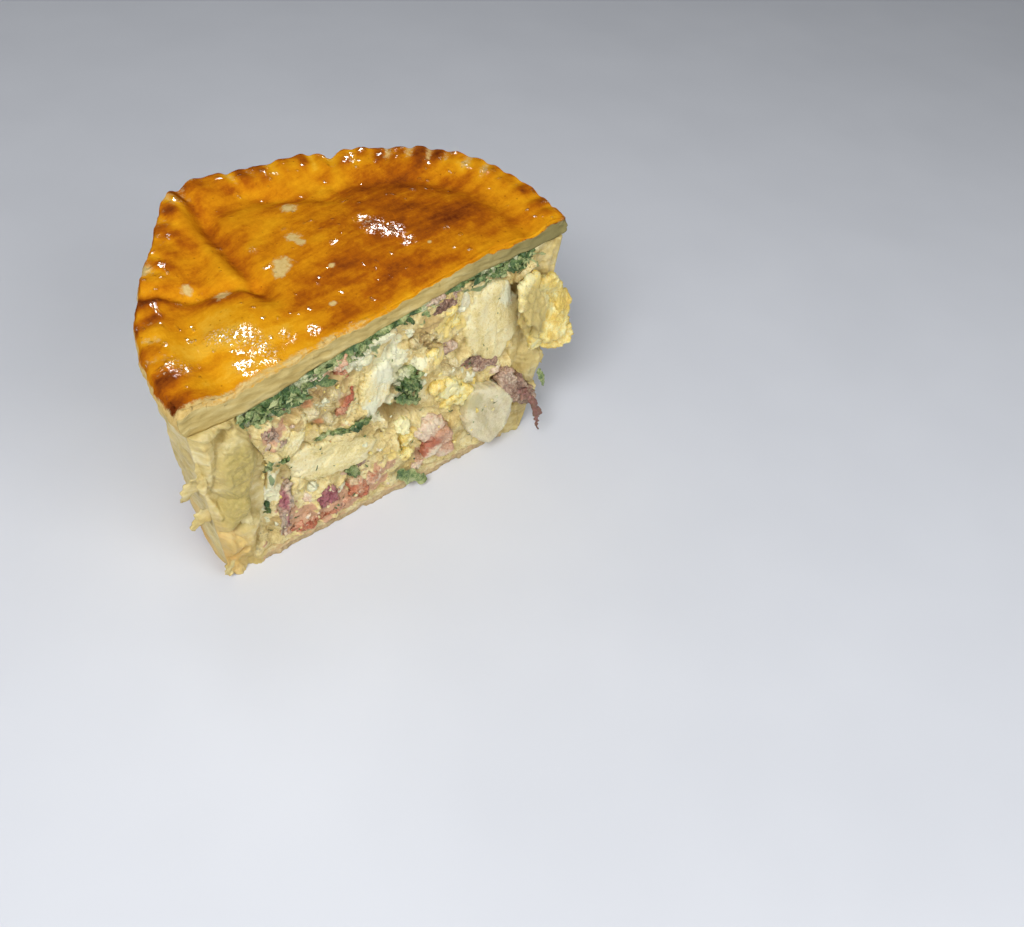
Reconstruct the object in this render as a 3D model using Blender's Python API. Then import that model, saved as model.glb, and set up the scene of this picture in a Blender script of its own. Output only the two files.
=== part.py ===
"""Half of a round bacon and egg pie, cut straight down and standing on its base.

X runs along the cut, the cut face looks along -Y, and Z is up. Sizes are millimetres until a mesh is
made, which turns them into metres. The knife passed beside the middle, so this is the larger half.
"""

import bmesh
import bpy
import numpy as np

MM = 0.001
GAP = 0.3

# The whole pie
LID_RADIUS = 60.3
BASE_RADIUS = 54.0
CUT_OFFSET = 6.0
LID_HEIGHT = 71.0
LID_SLOPE_ALONG = 0.12
LID_SLOPE_BACK = 0.09
RIM_LIFT = 1.6

# Pastry
LID_THICKNESS = 5.6
BASE_THICKNESS = 3.4
WALL_THICKNESS = 9.0
WALL_INSET = 1.6
CRIMPS = 31
CRIMP_DEPTH = 0.65
CRIMP_WIDTH = 9.0

# Filling
CRUMB_DEPTH = 0.75
PIECE_GAP = 0.35
CUTTER_REACH = 5.0
FILLING_ROWS = 0, 0.1, 0.4, 1

# Colour, roughness of each kind of piece
GOLDEN_CRUST = ((0.68, 0.30, 0.06), 0.3)
PALE_PASTRY = ((0.80, 0.68, 0.38), 0.6)
GREENS = ((0.07, 0.16, 0.06), 0.6)
CUSTARD = ((0.80, 0.74, 0.45), 0.6)
EGG = ((0.84, 0.77, 0.42), 0.55)
YOLK = ((0.86, 0.62, 0.15), 0.7)
ONION = ((0.66, 0.60, 0.38), 0.35)
BROWNED_ONION = ((0.60, 0.42, 0.18), 0.4)
HAM = ((0.72, 0.38, 0.28), 0.45)
BACON = ((0.42, 0.11, 0.10), 0.45)


def hill(value, centre, width):
    """A smooth hill of height one: e to minus the squared distance from its centre, in widths."""
    return np.exp(-(((value - centre) / width) ** 2))


def step(value, low, high):
    """Zero below low, one above high, and a smooth S between them."""
    part = np.clip((value - low) / (high - low), 0, 1)
    return part * part * (3 - 2 * part)


def crumble(u, v, size, seed):
    """Uneven surface between -1 and 1: waves across each other, bent by slower waves."""
    phase = np.random.default_rng(seed).uniform(0, 6.28, 6)
    u, v = u / size * 6.28, v / size * 6.28
    bent_u = u + 1.3 * np.sin(0.41 * v + phase[0])
    bent_v = v + 1.3 * np.sin(0.37 * u + phase[1])
    slow = np.sin(0.52 * bent_u + phase[2]) * np.cos(0.47 * bent_v + phase[3])
    fast = np.sin(bent_u + phase[4]) * np.sin(bent_v + phase[5])
    return 0.55 * slow + 0.45 * fast


def rim_radius(angle):
    """Edge of the lid seen from above: a circle, flared at the back left, flatter at the back right."""
    degrees = np.degrees(angle)
    flare = 7.0 * hill(degrees, 111, 14)
    flat = 3.0 * hill(degrees, 60, 19)
    notch = 2.4 * hill(degrees, 70, 3)
    return LID_RADIUS + flare - flat - notch


def edge_distance(x, y):
    """How far a point lies inside the lid's edge, measured towards the middle of the pie."""
    angle = np.arctan2(y - CUT_OFFSET, x)
    angle = np.where(angle < -1.6, angle + 2 * np.pi, angle)
    return rim_radius(angle) - np.hypot(x, y - CUT_OFFSET)


def lid_form(x, y):
    """Smooth height of the lid: a slope, lifted at its edge, arched along the cut and low at its ends."""
    slope = LID_HEIGHT + LID_SLOPE_ALONG * x + LID_SLOPE_BACK * y
    near_cut = hill(y, 0, 24)
    arch = 2.1 * hill(x, 25, 25) - 2.6 * hill(x, 62, 9) - 1.0 * hill(x, -62, 10)
    lift = RIM_LIFT * (1 - step(edge_distance(x, y), 5, 16))
    corner = 2.0 * hill(x, -27, 14) * hill(y, 68, 14)
    return slope + near_cut * arch + lift + corner


def crease(x, y, start, end, width):
    """A valley of depth one along a straight line, fading past both of its ends."""
    start, end = np.array(start), np.array(end)
    length = np.linalg.norm(end - start)
    along_x, along_y = (end - start) / length
    along = (x - start[0]) * along_x + (y - start[1]) * along_y
    across = (y - start[1]) * along_x - (x - start[0]) * along_y
    beyond = np.maximum(0, np.maximum(-along, along - length))
    return np.exp(-((across / width) ** 2) - (beyond / (2 * width)) ** 2)


def crimp(angle):
    """Fork marks round the edge, one at a pressed line and zero between, each a little different."""
    turn = np.degrees(angle) / 180 * CRIMPS
    uneven = 0.75 + 0.25 * np.sin(2.3 * turn + 0.7) * np.cos(0.71 * turn)
    return uneven * (0.5 + 0.5 * np.cos(2 * np.pi * turn)) ** 1.5


def lid_top(x, y):
    """Upper side of the lid: its form with creases, blisters and the crimped edge."""
    angle = np.arctan2(y - CUT_OFFSET, x)
    edge = edge_distance(x, y)
    height = lid_form(x, y)
    height = height - 1.8 * crease(x, y, (-22.5, 64), (-23, 24), 2.6)
    height = height + 1.0 * crease(x, y, (-27.5, 62), (-28, 30), 3.0)
    height = height - 1.4 * crease(x, y, (-51, 39), (-24, 27), 2.2)
    height = height - 1.0 * crease(x, y, (-10, 61), (9, 45), 2.4)
    height = height + 1.6 * hill(x, -36, 12) * hill(y, 15, 10)
    height = height + 1.5 * hill(x, 14, 24) * hill(y, 27, 15)
    height = height - 1.2 * hill(edge, 13, 4)
    height = height + 0.35 * crumble(x, y, 19, 3)
    pressed = 1 - step(edge, CRIMP_WIDTH * 0.55, CRIMP_WIDTH)
    return height - CRIMP_DEPTH * crimp(angle) * pressed + 0.5 * pressed


def lid_bottom(x, y):
    """Underside of the lid: the slope with its arch, and a thicker place at the left of the cut."""
    slope = LID_HEIGHT + LID_SLOPE_ALONG * x + LID_SLOPE_BACK * y
    arch = 2.1 * hill(x, 25, 25) * hill(y, 0, 24)
    thicker = 2.6 * hill(x, -42, 16) * hill(y, 0, 20)
    return slope + arch - thicker - LID_THICKNESS


def hidden_gap(y, most):
    """Gap under the lid: narrow at the cut, wider inside where the surfaces are only roughly alike."""
    return GAP + most * (1 - hill(y, 0, 8))


def lid_radius(angle, level):
    """Side of the lid: the outline, scalloped by the crimps and rounded over its thickness."""
    rounded = 1.3 * (2 * level - 1) ** 2
    return rim_radius(angle) - rounded - 0.3 * crimp(angle)


def wall_radius(angle, level):
    """Side of the pie: widening upwards, with shallow puffs and a drawn-in foot."""
    widening = (LID_RADIUS - WALL_INSET - BASE_RADIUS) * level**0.85
    flare = 0.7 * (rim_radius(angle) - LID_RADIUS) * level**1.3
    puffs = 0.6 * crumble(np.degrees(angle), 70 * level, 24, 5) * step(level, 0.05, 0.3)
    foot = 1.0 * hill(level, 0, 0.05)
    return BASE_RADIUS + widening + flare + puffs - foot


def wall_thickness(angle, level):
    """Wall of the case: thin at its foot, puffed at the two ends of the cut, most at the left end."""
    left = 8.5 * hill(np.degrees(angle), 184, 22) * hill(level, 0.66, 0.32)
    right = 3.5 * hill(np.degrees(angle), -4, 24) * hill(level, 0.5, 0.4)
    return WALL_THICKNESS + left + right - 2.5 * hill(level, 0, 0.12)


def room_radius(angle, level):
    """Inside of the case, by level of the filling: zero on the base and one at the filling's top."""
    level = np.clip(0.05 + 0.9 * level, 0, 1)
    return wall_radius(angle, level) - wall_thickness(angle, level)


def filling_radius(angle, level):
    return room_radius(angle, level) - GAP


def greens_radius(angle, level):
    return room_radius(angle, np.ones_like(level)) - GAP


def greens_thickness(x, y):
    """Layer of greens: deep at the left, a thin line in the middle, curling thicker at the right."""
    at_cut = 1.5 + 4.2 * hill(x, -36, 14) + 1.8 * hill(x, 42, 8)
    inside = 3.0
    near_cut = hill(y, 0, 14)
    return at_cut * near_cut + inside * (1 - near_cut)


def greens_top(x, y):
    return lid_bottom(x, y) - hidden_gap(y, 0.5)


def case_top(x, y):
    return lid_bottom(x, y) - hidden_gap(y, 0.3)


def greens_bottom(x, y):
    return greens_top(x, y) - greens_thickness(x, y)


def filling_top(x, y):
    return greens_bottom(x, y) - GAP


def filling_bottom(x, y):
    return np.full_like(x, BASE_THICKNESS + GAP)


def ground(x, y):
    return np.zeros_like(x)


def custard_face(x, z):
    """Torn and sliced face of the custard."""
    return CRUMB_DEPTH * (0.6 * crumble(x, z, 9, 11) + 0.4 * crumble(x, z, 4.1, 12))


def greens_face(x, z):
    return 0.5 * crumble(x, z, 5, 21) - 0.2


def lid_face(x, z):
    """Sliced edge of the lid: layers drawn along the cut."""
    return 0.25 * crumble(0.25 * x, z, 2.6, 31)


def pastry_face(x, z):
    """Sliced and torn ends of the case: one tall arched fold at the left, smaller lobes below it."""
    lobe = 2.2 * hill(x, -50, 6.5) * hill(z, 38, 15)
    arch = np.hypot((x + 50) / 8, (z - 36) / 17)
    groove = 1.5 * hill(arch, 1.05, 0.13) * step(z, 30, 38)
    low_lobes = 1.5 * hill(x, -53, 4) * hill(z, 21, 5) + 1.2 * hill(x, -47, 4) * hill(z, 12, 5)
    right_lobe = 2.0 * hill(x, 53, 5) * hill(z, 27, 8)
    layers = 0.5 * crumble(x, z, 6, 41)
    at_ends = step(np.abs(x), 36, 42)
    return at_ends * (groove + layers - lobe - low_lobes - right_lobe)


def even(count):
    return np.linspace(0, 1, count + 1).tolist()


def material(name, finish):
    colour, roughness = finish
    made = bpy.data.materials.get(name) or bpy.data.materials.new(name)
    made.use_nodes = True
    shader = made.node_tree.nodes["Principled BSDF"]
    shader.inputs["Base Color"].default_value = (*colour, 1)
    shader.inputs["Roughness"].default_value = roughness
    shader.inputs["Metallic"].default_value = 0
    return made


def new_object(name, points, faces, finish=None):
    """An object from points in millimetres, its faces turned outwards."""
    mesh = bpy.data.meshes.new(name)
    mesh.from_pydata((np.asarray(points) * MM).tolist(), [], faces)
    work = bmesh.new()
    work.from_mesh(mesh)
    bmesh.ops.recalc_face_normals(work, faces=work.faces)
    bmesh.ops.triangulate(work, faces=work.faces)
    work.to_mesh(mesh)
    work.free()
    made = bpy.data.objects.new(name, mesh)
    bpy.context.scene.collection.objects.link(made)
    if finish:
        mesh.materials.append(material(name, finish))
    return made


def half_round(name, radius, bottom, top, steps, finish=None, face=None, cut_y=0.0):
    """A solid with a straight cut in front and a round side behind.

    steps holds three lists of fractions: columns from the right end of the cut to its left end, rows
    from the cut back to the edge and levels from bottom to top. A column is a straight line from a
    place on the cut to one on the edge.
    """
    turn, row, level = np.array(steps[0])[:, None], np.array(steps[1])[:, None], np.array(steps[2])
    start, stop = np.arcsin(-CUT_OFFSET / radius(np.array([[0], [np.pi]]), level))
    angle = start + (np.pi - stop - start) * turn
    reach = radius(angle, level)
    edge_x = reach * np.cos(angle)
    edge_y = CUT_OFFSET + reach * np.sin(angle)
    edge_y[[0, -1]] = cut_y
    along = (turn - turn[0]) / (turn[-1] - turn[0])
    cut_x = edge_x[:1] + (edge_x[-1:] - edge_x[:1]) * (1 - np.cos(np.pi * along)) / 2
    x = cut_x[:, None] * (1 - row) + edge_x[:, None] * row
    y = cut_y * (1 - row) + edge_y[:, None] * row
    z = bottom(x, y) * (1 - level) + top(x, y) * level
    if face:
        room = np.minimum(edge_x[:1] - cut_x, cut_x - edge_x[-1:])
        fade = (np.clip(room / 2.5, 0, 1))[:, None] * (1 - row) ** 4
        y = y + face(x, z) * fade
    index = np.arange(x.size).reshape(x.shape)
    index[[0, -1]] = index[[0, -1], :1]
    sheets = index[:, :, 0], index[:, :, -1], index[:, 0], index[:, -1]
    quads = []
    for sheet in sheets:
        corners = np.stack([sheet[:-1, :-1], sheet[1:, :-1], sheet[1:, 1:], sheet[:-1, 1:]], axis=-1)
        quads.extend(corners.reshape(-1, 4).tolist())
    used = sorted({corner for quad in quads for corner in quad})
    renumber = {old: new for new, old in enumerate(used)}
    faces = [list(dict.fromkeys(renumber[corner] for corner in quad)) for quad in quads]
    points = np.stack([x.ravel(), y.ravel(), z.ravel()], axis=1)[used]
    return new_object(name, points, [corners for corners in faces if len(corners) > 2], finish)


def lump(name, piece, finish=None, grow=0.0, reach=0.0, sides=0):
    """A piece of filling that the knife sliced: rough oval rings from a flat front to a rounded back.

    piece holds x, z, half length, half width, tilt in degrees, how far the front stands out, and depth.
    With a reach it is the straight-fronted tool that makes room for the piece.
    """
    x, z, half_long, half_wide, tilt, front, depth = piece
    if not sides:
        sides = 12 if half_long > 8 else 9
    phase = np.random.default_rng(int(abs(x * 31 + z * 7))).uniform(0, 6.28, 3)
    around = np.linspace(0, 2 * np.pi, sides, endpoint=False)
    rough = 1 + 0.1 * np.sin(3 * around + phase[0]) + 0.07 * np.sin(5 * around + phase[1])
    power = 2.3
    oval = (np.abs(np.cos(around) / half_long) ** power + np.abs(np.sin(around) / half_wide) ** power)
    oval = oval ** (-1 / power) * rough
    places = (-front - grow, -front + 1.0, 0.5 * depth, depth + grow)
    scales = (0.93, 1.0, 0.95, 0.6)
    if reach:
        places = (-front - reach, 0.5 * depth, depth + grow)
        scales = (1.01, 0.97, 0.62)
    turn = np.radians(tilt)
    points = []
    for place, scale in zip(places, scales):
        u = (oval * scale + grow) * np.cos(around)
        v = (oval * scale + grow) * np.sin(around)
        ring_x = x + u * np.cos(turn) - v * np.sin(turn)
        ring_z = z + u * np.sin(turn) + v * np.cos(turn)
        points.extend(np.stack([ring_x, np.full(sides, place), ring_z], axis=1).tolist())
    faces = []
    for ring in range(len(places) - 1):
        for side in range(sides):
            a, b = ring * sides + side, ring * sides + (side + 1) % sides
            faces.append([a, b, b + sides, a + sides])
    faces.append(list(range(sides)))
    faces.append([(len(places) - 1) * sides + side for side in range(sides)])
    return new_object(name, points, faces, finish)


def ribbon(name, path, width, thickness, wave, finish=None, steps=8):
    """A thin wavy strip or leaf along a path, pointed at its far end, both faces split alike."""
    along = np.linspace(0, 1, steps + 1)
    centre = path(along)
    forward = np.gradient(centre, axis=0)
    forward /= np.linalg.norm(forward, axis=1)[:, None]
    side = np.cross(forward, [0.0, 1.0, 0.0])
    side /= np.linalg.norm(side, axis=1)[:, None]
    out = np.cross(side, forward)
    shape = width * (1 - along**3) ** 0.5 + 0.25
    points = []
    for place in (-1, 0, 1):
        lift = wave * np.sin(9 * along + 1.4 * place)[:, None] * out
        middle = centre + side * (place * shape / 2)[:, None] + lift
        half = thickness * (1.0 if place == 0 else 0.6) / 2
        points.append(middle - out * half)
        points.append(middle + out * half)
    points = np.concatenate(points)
    count = steps + 1
    lines = [np.arange(count) + line * count for line in (0, 2, 4, 5, 3, 1)]
    faces = []
    for first, second in zip(lines, lines[1:] + lines[:1]):
        for a, b, c, d in zip(first[:-1], first[1:], second[1:], second[:-1]):
            faces.append([int(a), int(b), int(c), int(d)])
    for end in (0, -1):
        faces.append([int(line[end]) for line in lines])
    return new_object(name, points, faces, finish)


def rasher(name, path, radii, finish=None, steps=9, sides=6):
    """A rind or rasher end: a flattened tube along a path, its radius following radii."""
    along = np.linspace(0, 1, steps + 1)
    centre = path(along)
    forward = np.gradient(centre, axis=0)
    forward /= np.linalg.norm(forward, axis=1)[:, None]
    side = np.cross(forward, [0.0, 1.0, 0.0])
    side /= np.linalg.norm(side, axis=1)[:, None]
    out = np.cross(side, forward)
    around = np.linspace(0, 2 * np.pi, sides, endpoint=False)
    radius = np.interp(along, np.linspace(0, 1, len(radii)), radii)[:, None, None]
    ring = np.cos(around)[:, None] * side[:, None] + 0.65 * np.sin(around)[:, None] * out[:, None]
    points = (centre[:, None] + radius * ring).reshape(-1, 3)
    faces = [
        [r * sides + s, r * sides + (s + 1) % sides, (r + 1) * sides + (s + 1) % sides, (r + 1) * sides + s]
        for r in range(steps)
        for s in range(sides)
    ]
    faces.append(list(range(sides)))
    faces.append([steps * sides + s for s in range(sides)])
    return new_object(name, points, faces, finish)


def curve_path(start, middle, end):
    """A path bent by one middle point: the quadratic curve through control points."""
    start, middle, end = (np.array(point, float) for point in (start, middle, end))

    def path(along):
        t = along[:, None]
        return start * (1 - t) ** 2 + middle * 2 * t * (1 - t) + end * t**2

    return path


def apply_boolean(target, operation, tools):
    """One Boolean on a collection of tools, applied, and the tools then removed."""
    if not tools:
        return
    group = bpy.data.collections.new(f"{target.name}_tools")
    bpy.context.scene.collection.children.link(group)
    for tool in tools:
        bpy.context.scene.collection.objects.unlink(tool)
        group.objects.link(tool)
        tool.hide_render = True
        tool.display_type = "WIRE"
    modifier = target.modifiers.new(operation, "BOOLEAN")
    modifier.operation = operation
    modifier.solver = "EXACT"
    modifier.operand_type = "COLLECTION"
    modifier.collection = group
    graph = bpy.context.evaluated_depsgraph_get()
    result = bpy.data.meshes.new_from_object(target.evaluated_get(graph))
    target.modifiers.clear()
    target.data = result
    for tool in tools:
        bpy.data.objects.remove(tool)
    bpy.data.collections.remove(group)
    keep_largest(target)


def keep_largest(target):
    """Drops the loose scraps that a Boolean leaves, keeping the body with the most volume."""
    work = bmesh.new()
    work.from_mesh(target.data)
    bmesh.ops.triangulate(work, faces=work.faces)
    work.faces.ensure_lookup_table()
    seen, bodies = set(), []
    for face in work.faces:
        if face.index in seen:
            continue
        body, queue = [], [face]
        seen.add(face.index)
        while queue:
            current = queue.pop()
            body.append(current)
            for edge in current.edges:
                for other in edge.link_faces:
                    if other.index not in seen:
                        seen.add(other.index)
                        queue.append(other)
        bodies.append(body)

    def volume(body):
        corners = [[vertex.co for vertex in face.verts] for face in body]
        return abs(sum(a.dot(b.cross(c)) for a, b, c in corners))

    bodies.sort(key=volume)
    for body in bodies[:-1]:
        bmesh.ops.delete(work, geom=body, context="FACES")
    loose = [vertex for vertex in work.verts if not vertex.link_faces]
    bmesh.ops.delete(work, geom=loose, context="VERTS")
    work.to_mesh(target.data)
    work.free()


def reach_of(target):
    points = np.array([vertex.co for vertex in target.data.vertices])
    return points.min(axis=0), points.max(axis=0)


def meets(first, second):
    """Whether the boxes of two objects overlap."""
    low_a, high_a = reach_of(first)
    low_b, high_b = reach_of(second)
    return bool(np.all(low_a < high_b) and np.all(low_b < high_a))


# Pieces of filling as large as a berry: x, z, half length, half width, tilt, front, depth.
# A later piece gives way where it meets an earlier one.
PIECES = {
    "egg_yolk_crumb": ((51.0, 51.5, 15.5, 9.4, -62, 6.5, 3), YOLK),
    "potato_round": ((33.6, 19.0, 13.6, 8.6, -62, 4.6, 16), ONION),
    "ham_piece": ((15.6, 17.2, 11.0, 6.2, -58, 2.0, 16), HAM),
    "bacon_stringy": ((46.5, 21.6, 12.5, 3.9, -51, 3.4, 12), BACON),
    "egg_wedge": ((35.0, 51.4, 15.6, 10.6, -76, 0.8, 22), EGG),
    "bacon_dark_strip": ((31.6, 38.2, 7.4, 2.4, -23, 1.0, 14), BACON),
    "egg_crumbly": ((21.4, 32.0, 8.6, 5.6, -40, 1.8, 12), EGG),
    "onion_small": ((19.4, 42.4, 5.4, 2.8, -39, 0.9, 9), BROWNED_ONION),
    "egg_slab": ((-20.4, 28.6, 14.6, 6.6, -17, 1.0, 22), EGG),
    "onion_browned": ((-21.6, 47.8, 8.6, 7.0, -44, 0.4, 14), BROWNED_ONION),
    "egg_side_strip": ((-32.4, 40.2, 5.6, 3.0, 45, 0.5, 12), EGG),
    "egg_white_piece": ((-5.4, 46.4, 8.8, 5.2, 76, 1.0, 18), EGG),
    "egg_yolk_small": ((4.4, 22.6, 8.6, 3.8, -85, 0.2, 10), YOLK),
    "leaf_clump": ((6.0, 43.4, 5.2, 3.0, -63, 0.9, 8), GREENS),
    "onion_tan": ((12.2, 54.4, 4.6, 2.9, -50, 0.9, 9), BROWNED_ONION),
    "curd_with_greens": ((-10.8, 58.2, 4.8, 2.6, 5, 0.5, 9), CUSTARD),
    "onion_grey": ((24.4, 62.8, 3.8, 2.2, -76, 0.2, 9), ONION),
    "bacon_brown_bit": ((17.0, 64.4, 4.2, 2.1, 12, 0.2, 8), BACON),
    "bacon_upright": ((-35.6, 17.6, 10.6, 2.1, 81, 0.9, 12), BACON),
    "bacon_purple": ((-22.8, 13.4, 4.6, 3.6, -75, 0.9, 12), BACON),
    "bacon_red": ((-12.0, 10.2, 5.2, 3.1, -68, 0.9, 12), BACON),
    "bacon_along_base": ((-25.4, 6.2, 8.6, 1.9, 2, 0.6, 12), HAM),
}

# Bits smaller than a berry, fused to the custard: x, z, half length, half width, tilt, front, depth.
BITS = (
    (-37.0, 46.6, 3.4, 2.0, -66, 0.9, 2.5),
    (-15.4, 56.2, 3.6, 1.8, -52, 0.8, 2.5),
    (-12.6, 37.4, 3.2, 1.4, 53, 0.8, 2.5),
    (19.6, 59.0, 3.2, 2.2, -41, 1.6, 3.0),
    (27.6, 34.0, 3.6, 2.2, -44, 1.6, 3.0),
    (13.6, 48.8, 3.4, 1.9, -51, 1.2, 3.0),
    (-13.6, 18.6, 3.6, 1.5, -55, 0.9, 2.5),
    (-5.6, 11.2, 2.4, 1.8, -79, 0.9, 2.5),
    (-40.8, 21.0, 2.6, 1.1, -88, 0.9, 2.5),
    (14.0, 6.4, 3.9, 1.8, -28, 3.0, 3.0),
    (5.2, 36.4, 4.6, 1.3, -33, 1.2, 2.5),
    (40.6, 31.6, 3.0, 1.8, -20, 1.3, 3.0),
)


def build_case():
    """The pastry case: a solid pie shape with the room for its filling cut out of it."""
    steps = even(44), (0, 0.06, 0.2, 0.56, 0.84, 1), even(7)
    case = half_round("pastry_case", wall_radius, ground, case_top, steps, PALE_PASTRY, pastry_face)
    columns = -0.08, *even(36), 1.08
    levels = -0.005, *even(8)[1:], 1.4
    steps = columns, (0, 1), levels
    room = half_round("room", room_radius, filling_bottom, filling_top, steps, cut_y=-9.0)
    apply_boolean(case, "DIFFERENCE", [room])
    flakes = [
        ribbon("flake", curve_path((-53, 1.5, 27), (-59, 2, 27), (-62.5, 3, 25.4)), 3.6, 1.3, 0.3),
        ribbon("flake", curve_path((-56, 3, 38), (-59.5, 4, 37), (-62.0, 5.5, 34)), 3.4, 1.2, 0.3),
        ribbon("flake", curve_path((-50, 1.5, 6), (-54, 0.5, 4), (-56.0, 0, 1.2)), 3.2, 1.2, 0.2),
        ribbon("flake", curve_path((-51, 1.5, 33), (-49, -1.5, 27), (-47.5, -2.6, 20)), 5.0, 1.6, 0.4),
        ribbon("flake", curve_path((-47, 1.5, 20), (-49, -1.4, 15), (-52.5, -2.0, 11)), 4.6, 1.5, 0.4),
        ribbon("flake", curve_path((51, 1.5, 37), (54, -1.6, 33), (56.5, -2.4, 28)), 4.4, 1.4, 0.4),
        ribbon("flake", curve_path((52, 1.5, 22), (54.5, -1.4, 18), (55.0, -1.8, 12)), 4.0, 1.4, 0.4),
    ]
    apply_boolean(case, "UNION", flakes)
    return case


def build_lid():
    steps = even(84), (0, 0.06, 0.2, 0.38, 0.56, 0.72, 0.84, 0.93, 1), even(2)
    return half_round("pastry_lid", lid_radius, lid_bottom, lid_top, steps, GOLDEN_CRUST, lid_face)


def build_greens():
    """The layer of greens under the lid, with shreds curling out of its cut edge."""
    steps = even(36), FILLING_ROWS, even(1)
    greens = half_round(
        "greens_layer", greens_radius, greens_bottom, greens_top, steps, GREENS, greens_face
    )
    shreds = []
    for place, x in enumerate((-41, -36, -31, -26, 37, 41)):
        top = float(greens_top(np.array(x), np.array(0.0))) - 1.3
        lean = 2.2 * np.sin(2.1 * place)
        drop = 3.2 + 1.4 * np.cos(1.7 * place)
        path = curve_path((x, 0.5, top), (x + lean / 2, -2.6, top - drop / 2), (x + lean, -1.9, top - drop))
        shreds.append(ribbon("shred", path, 2.4, 0.7, 0.3, steps=4))
    apply_boolean(greens, "UNION", shreds)
    return greens


def build_filling():
    steps = even(36), FILLING_ROWS, even(8)
    filling = half_round(
        "egg_filling", filling_radius, filling_bottom, filling_top, steps, CUSTARD, custard_face
    )
    bits = [lump("bit", bit, sides=6) for bit in BITS]
    apply_boolean(filling, "UNION", bits)
    return filling


def build_pieces():
    """The large pieces in the custard, each cut back where it would meet an earlier one."""
    made = {}
    for name, (piece, finish) in PIECES.items():
        body = lump(name, piece, finish)
        cutters = []
        for other in made:
            cutter = lump("cutter", PIECES[other][0], grow=PIECE_GAP)
            if meets(body, cutter):
                cutters.append(cutter)
            else:
                bpy.data.objects.remove(cutter)
        apply_boolean(body, "DIFFERENCE", cutters)
        made[name] = body
    rind_path = curve_path((45.0, -2.0, 22), (51.0, -9.5, 21), (52.5, -7.6, 5.5))
    rind = rasher("rind", rind_path, (1.5, 1.9, 1.8, 1.3, 1.7, 0.5))
    apply_boolean(made["bacon_stringy"], "UNION", [rind])
    return made


def build_base_leaf():
    """A curly leaf that came out of the filling at its foot."""
    path = curve_path((1.2, -1.9, 9.6), (5.5, -3.4, 6.2), (11.0, -4.2, 1.6))
    return ribbon("base_leaf", path, 6.2, 0.7, 0.7, GREENS, steps=10)


def build_leaf_strip():
    path = curve_path((51.2, -5.4, 29.6), (53.2, -6.4, 26), (54.6, -6.0, 21.5))
    return ribbon("leaf_strip", path, 2.4, 0.7, 0.1, GREENS, steps=6)


def cut_pockets(target, pieces):
    """Makes room in a solid for each piece that it holds, open at the cut face."""
    cutters = []
    for name in pieces:
        cutter = lump("cutter", PIECES[name][0], grow=PIECE_GAP, reach=CUTTER_REACH)
        if meets(target, cutter):
            cutters.append(cutter)
        else:
            bpy.data.objects.remove(cutter)
    apply_boolean(target, "DIFFERENCE", cutters)


def stand_on_origin(objects):
    """Moves every mesh so that the origin lies under the middle of the whole."""
    lows, highs = zip(*(reach_of(target) for target in objects))
    low, high = np.min(lows, axis=0), np.max(highs, axis=0)
    shift = np.array([-(low[0] + high[0]) / 2, -(low[1] + high[1]) / 2, 0])
    for target in objects:
        points = np.array([vertex.co for vertex in target.data.vertices]) + shift
        target.data.vertices.foreach_set("co", points.astype(np.float32).ravel())
        target.data.update()
    print("moved by", (shift / MM).round(4), "mm, size", ((high - low) / MM).round(2), "mm")


def shade(target):
    target.data.shade_smooth()
    target.data.set_sharp_from_angle(angle=np.radians(35))


def main():
    for old in list(bpy.data.objects):
        bpy.data.objects.remove(old)
    case, lid, greens, filling = build_case(), build_lid(), build_greens(), build_filling()
    pieces = build_pieces()
    for target in (case, filling):
        cut_pockets(target, pieces)
    leaves = [build_base_leaf(), build_leaf_strip()]
    everything = [case, lid, greens, filling, *pieces.values(), *leaves]
    stand_on_origin(everything)
    for target in everything:
        shade(target)
        print(target.name, len(target.data.polygons), "triangles")
    print("all", sum(len(target.data.polygons) for target in everything))


main()
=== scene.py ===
# %% [markdown]
# This lesson dresses half of a bacon and egg pie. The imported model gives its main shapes, and each
# cell below makes one finer piece over them. Nothing is loaded from disk but that frame.

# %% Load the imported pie
import itertools
from collections import namedtuple

import bpy
import numpy as np
from mathutils import Matrix


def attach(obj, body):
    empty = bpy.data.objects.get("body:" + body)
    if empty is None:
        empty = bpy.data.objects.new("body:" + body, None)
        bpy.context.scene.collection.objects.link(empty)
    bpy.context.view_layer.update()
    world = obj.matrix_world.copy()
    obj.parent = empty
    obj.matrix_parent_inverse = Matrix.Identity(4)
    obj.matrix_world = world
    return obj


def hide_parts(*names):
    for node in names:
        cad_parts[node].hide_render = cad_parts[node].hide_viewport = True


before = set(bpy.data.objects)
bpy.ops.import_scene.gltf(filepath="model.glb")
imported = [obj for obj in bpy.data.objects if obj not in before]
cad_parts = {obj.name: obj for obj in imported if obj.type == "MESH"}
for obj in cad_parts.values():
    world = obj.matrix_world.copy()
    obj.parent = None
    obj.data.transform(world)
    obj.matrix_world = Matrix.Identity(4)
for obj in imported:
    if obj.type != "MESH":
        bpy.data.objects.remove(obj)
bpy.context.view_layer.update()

# A millimetre in metres, and the step from the pie's own middle to the middle of the row's frame
MM = 0.001
SHIFT = np.array([0.2521, -30.4562, 0.0])

# %% [markdown]
# Food is uneven at every size, so most cells need smooth steps, round hills, noise and broken lumps.
# They are worked out with numpy on whole arrays of points, which keeps them the same on every run.

# %% Hills, steps, noise and lumps
LATTICE, CELL_TABLE = 32, 16


def hill(value, centre, width):
    """e to minus the squared distance from the centre, in widths."""
    return np.exp(-(((value - centre) / width) ** 2))


def axes_at(x, y, centre, turn):
    """How far a place lies from a centre along an axis turned by so many degrees, and across it."""
    dx, dy = x - centre[0], y - centre[1]
    c, s = np.cos(np.radians(turn)), np.sin(np.radians(turn))
    return dx * c + dy * s, dy * c - dx * s


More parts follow.
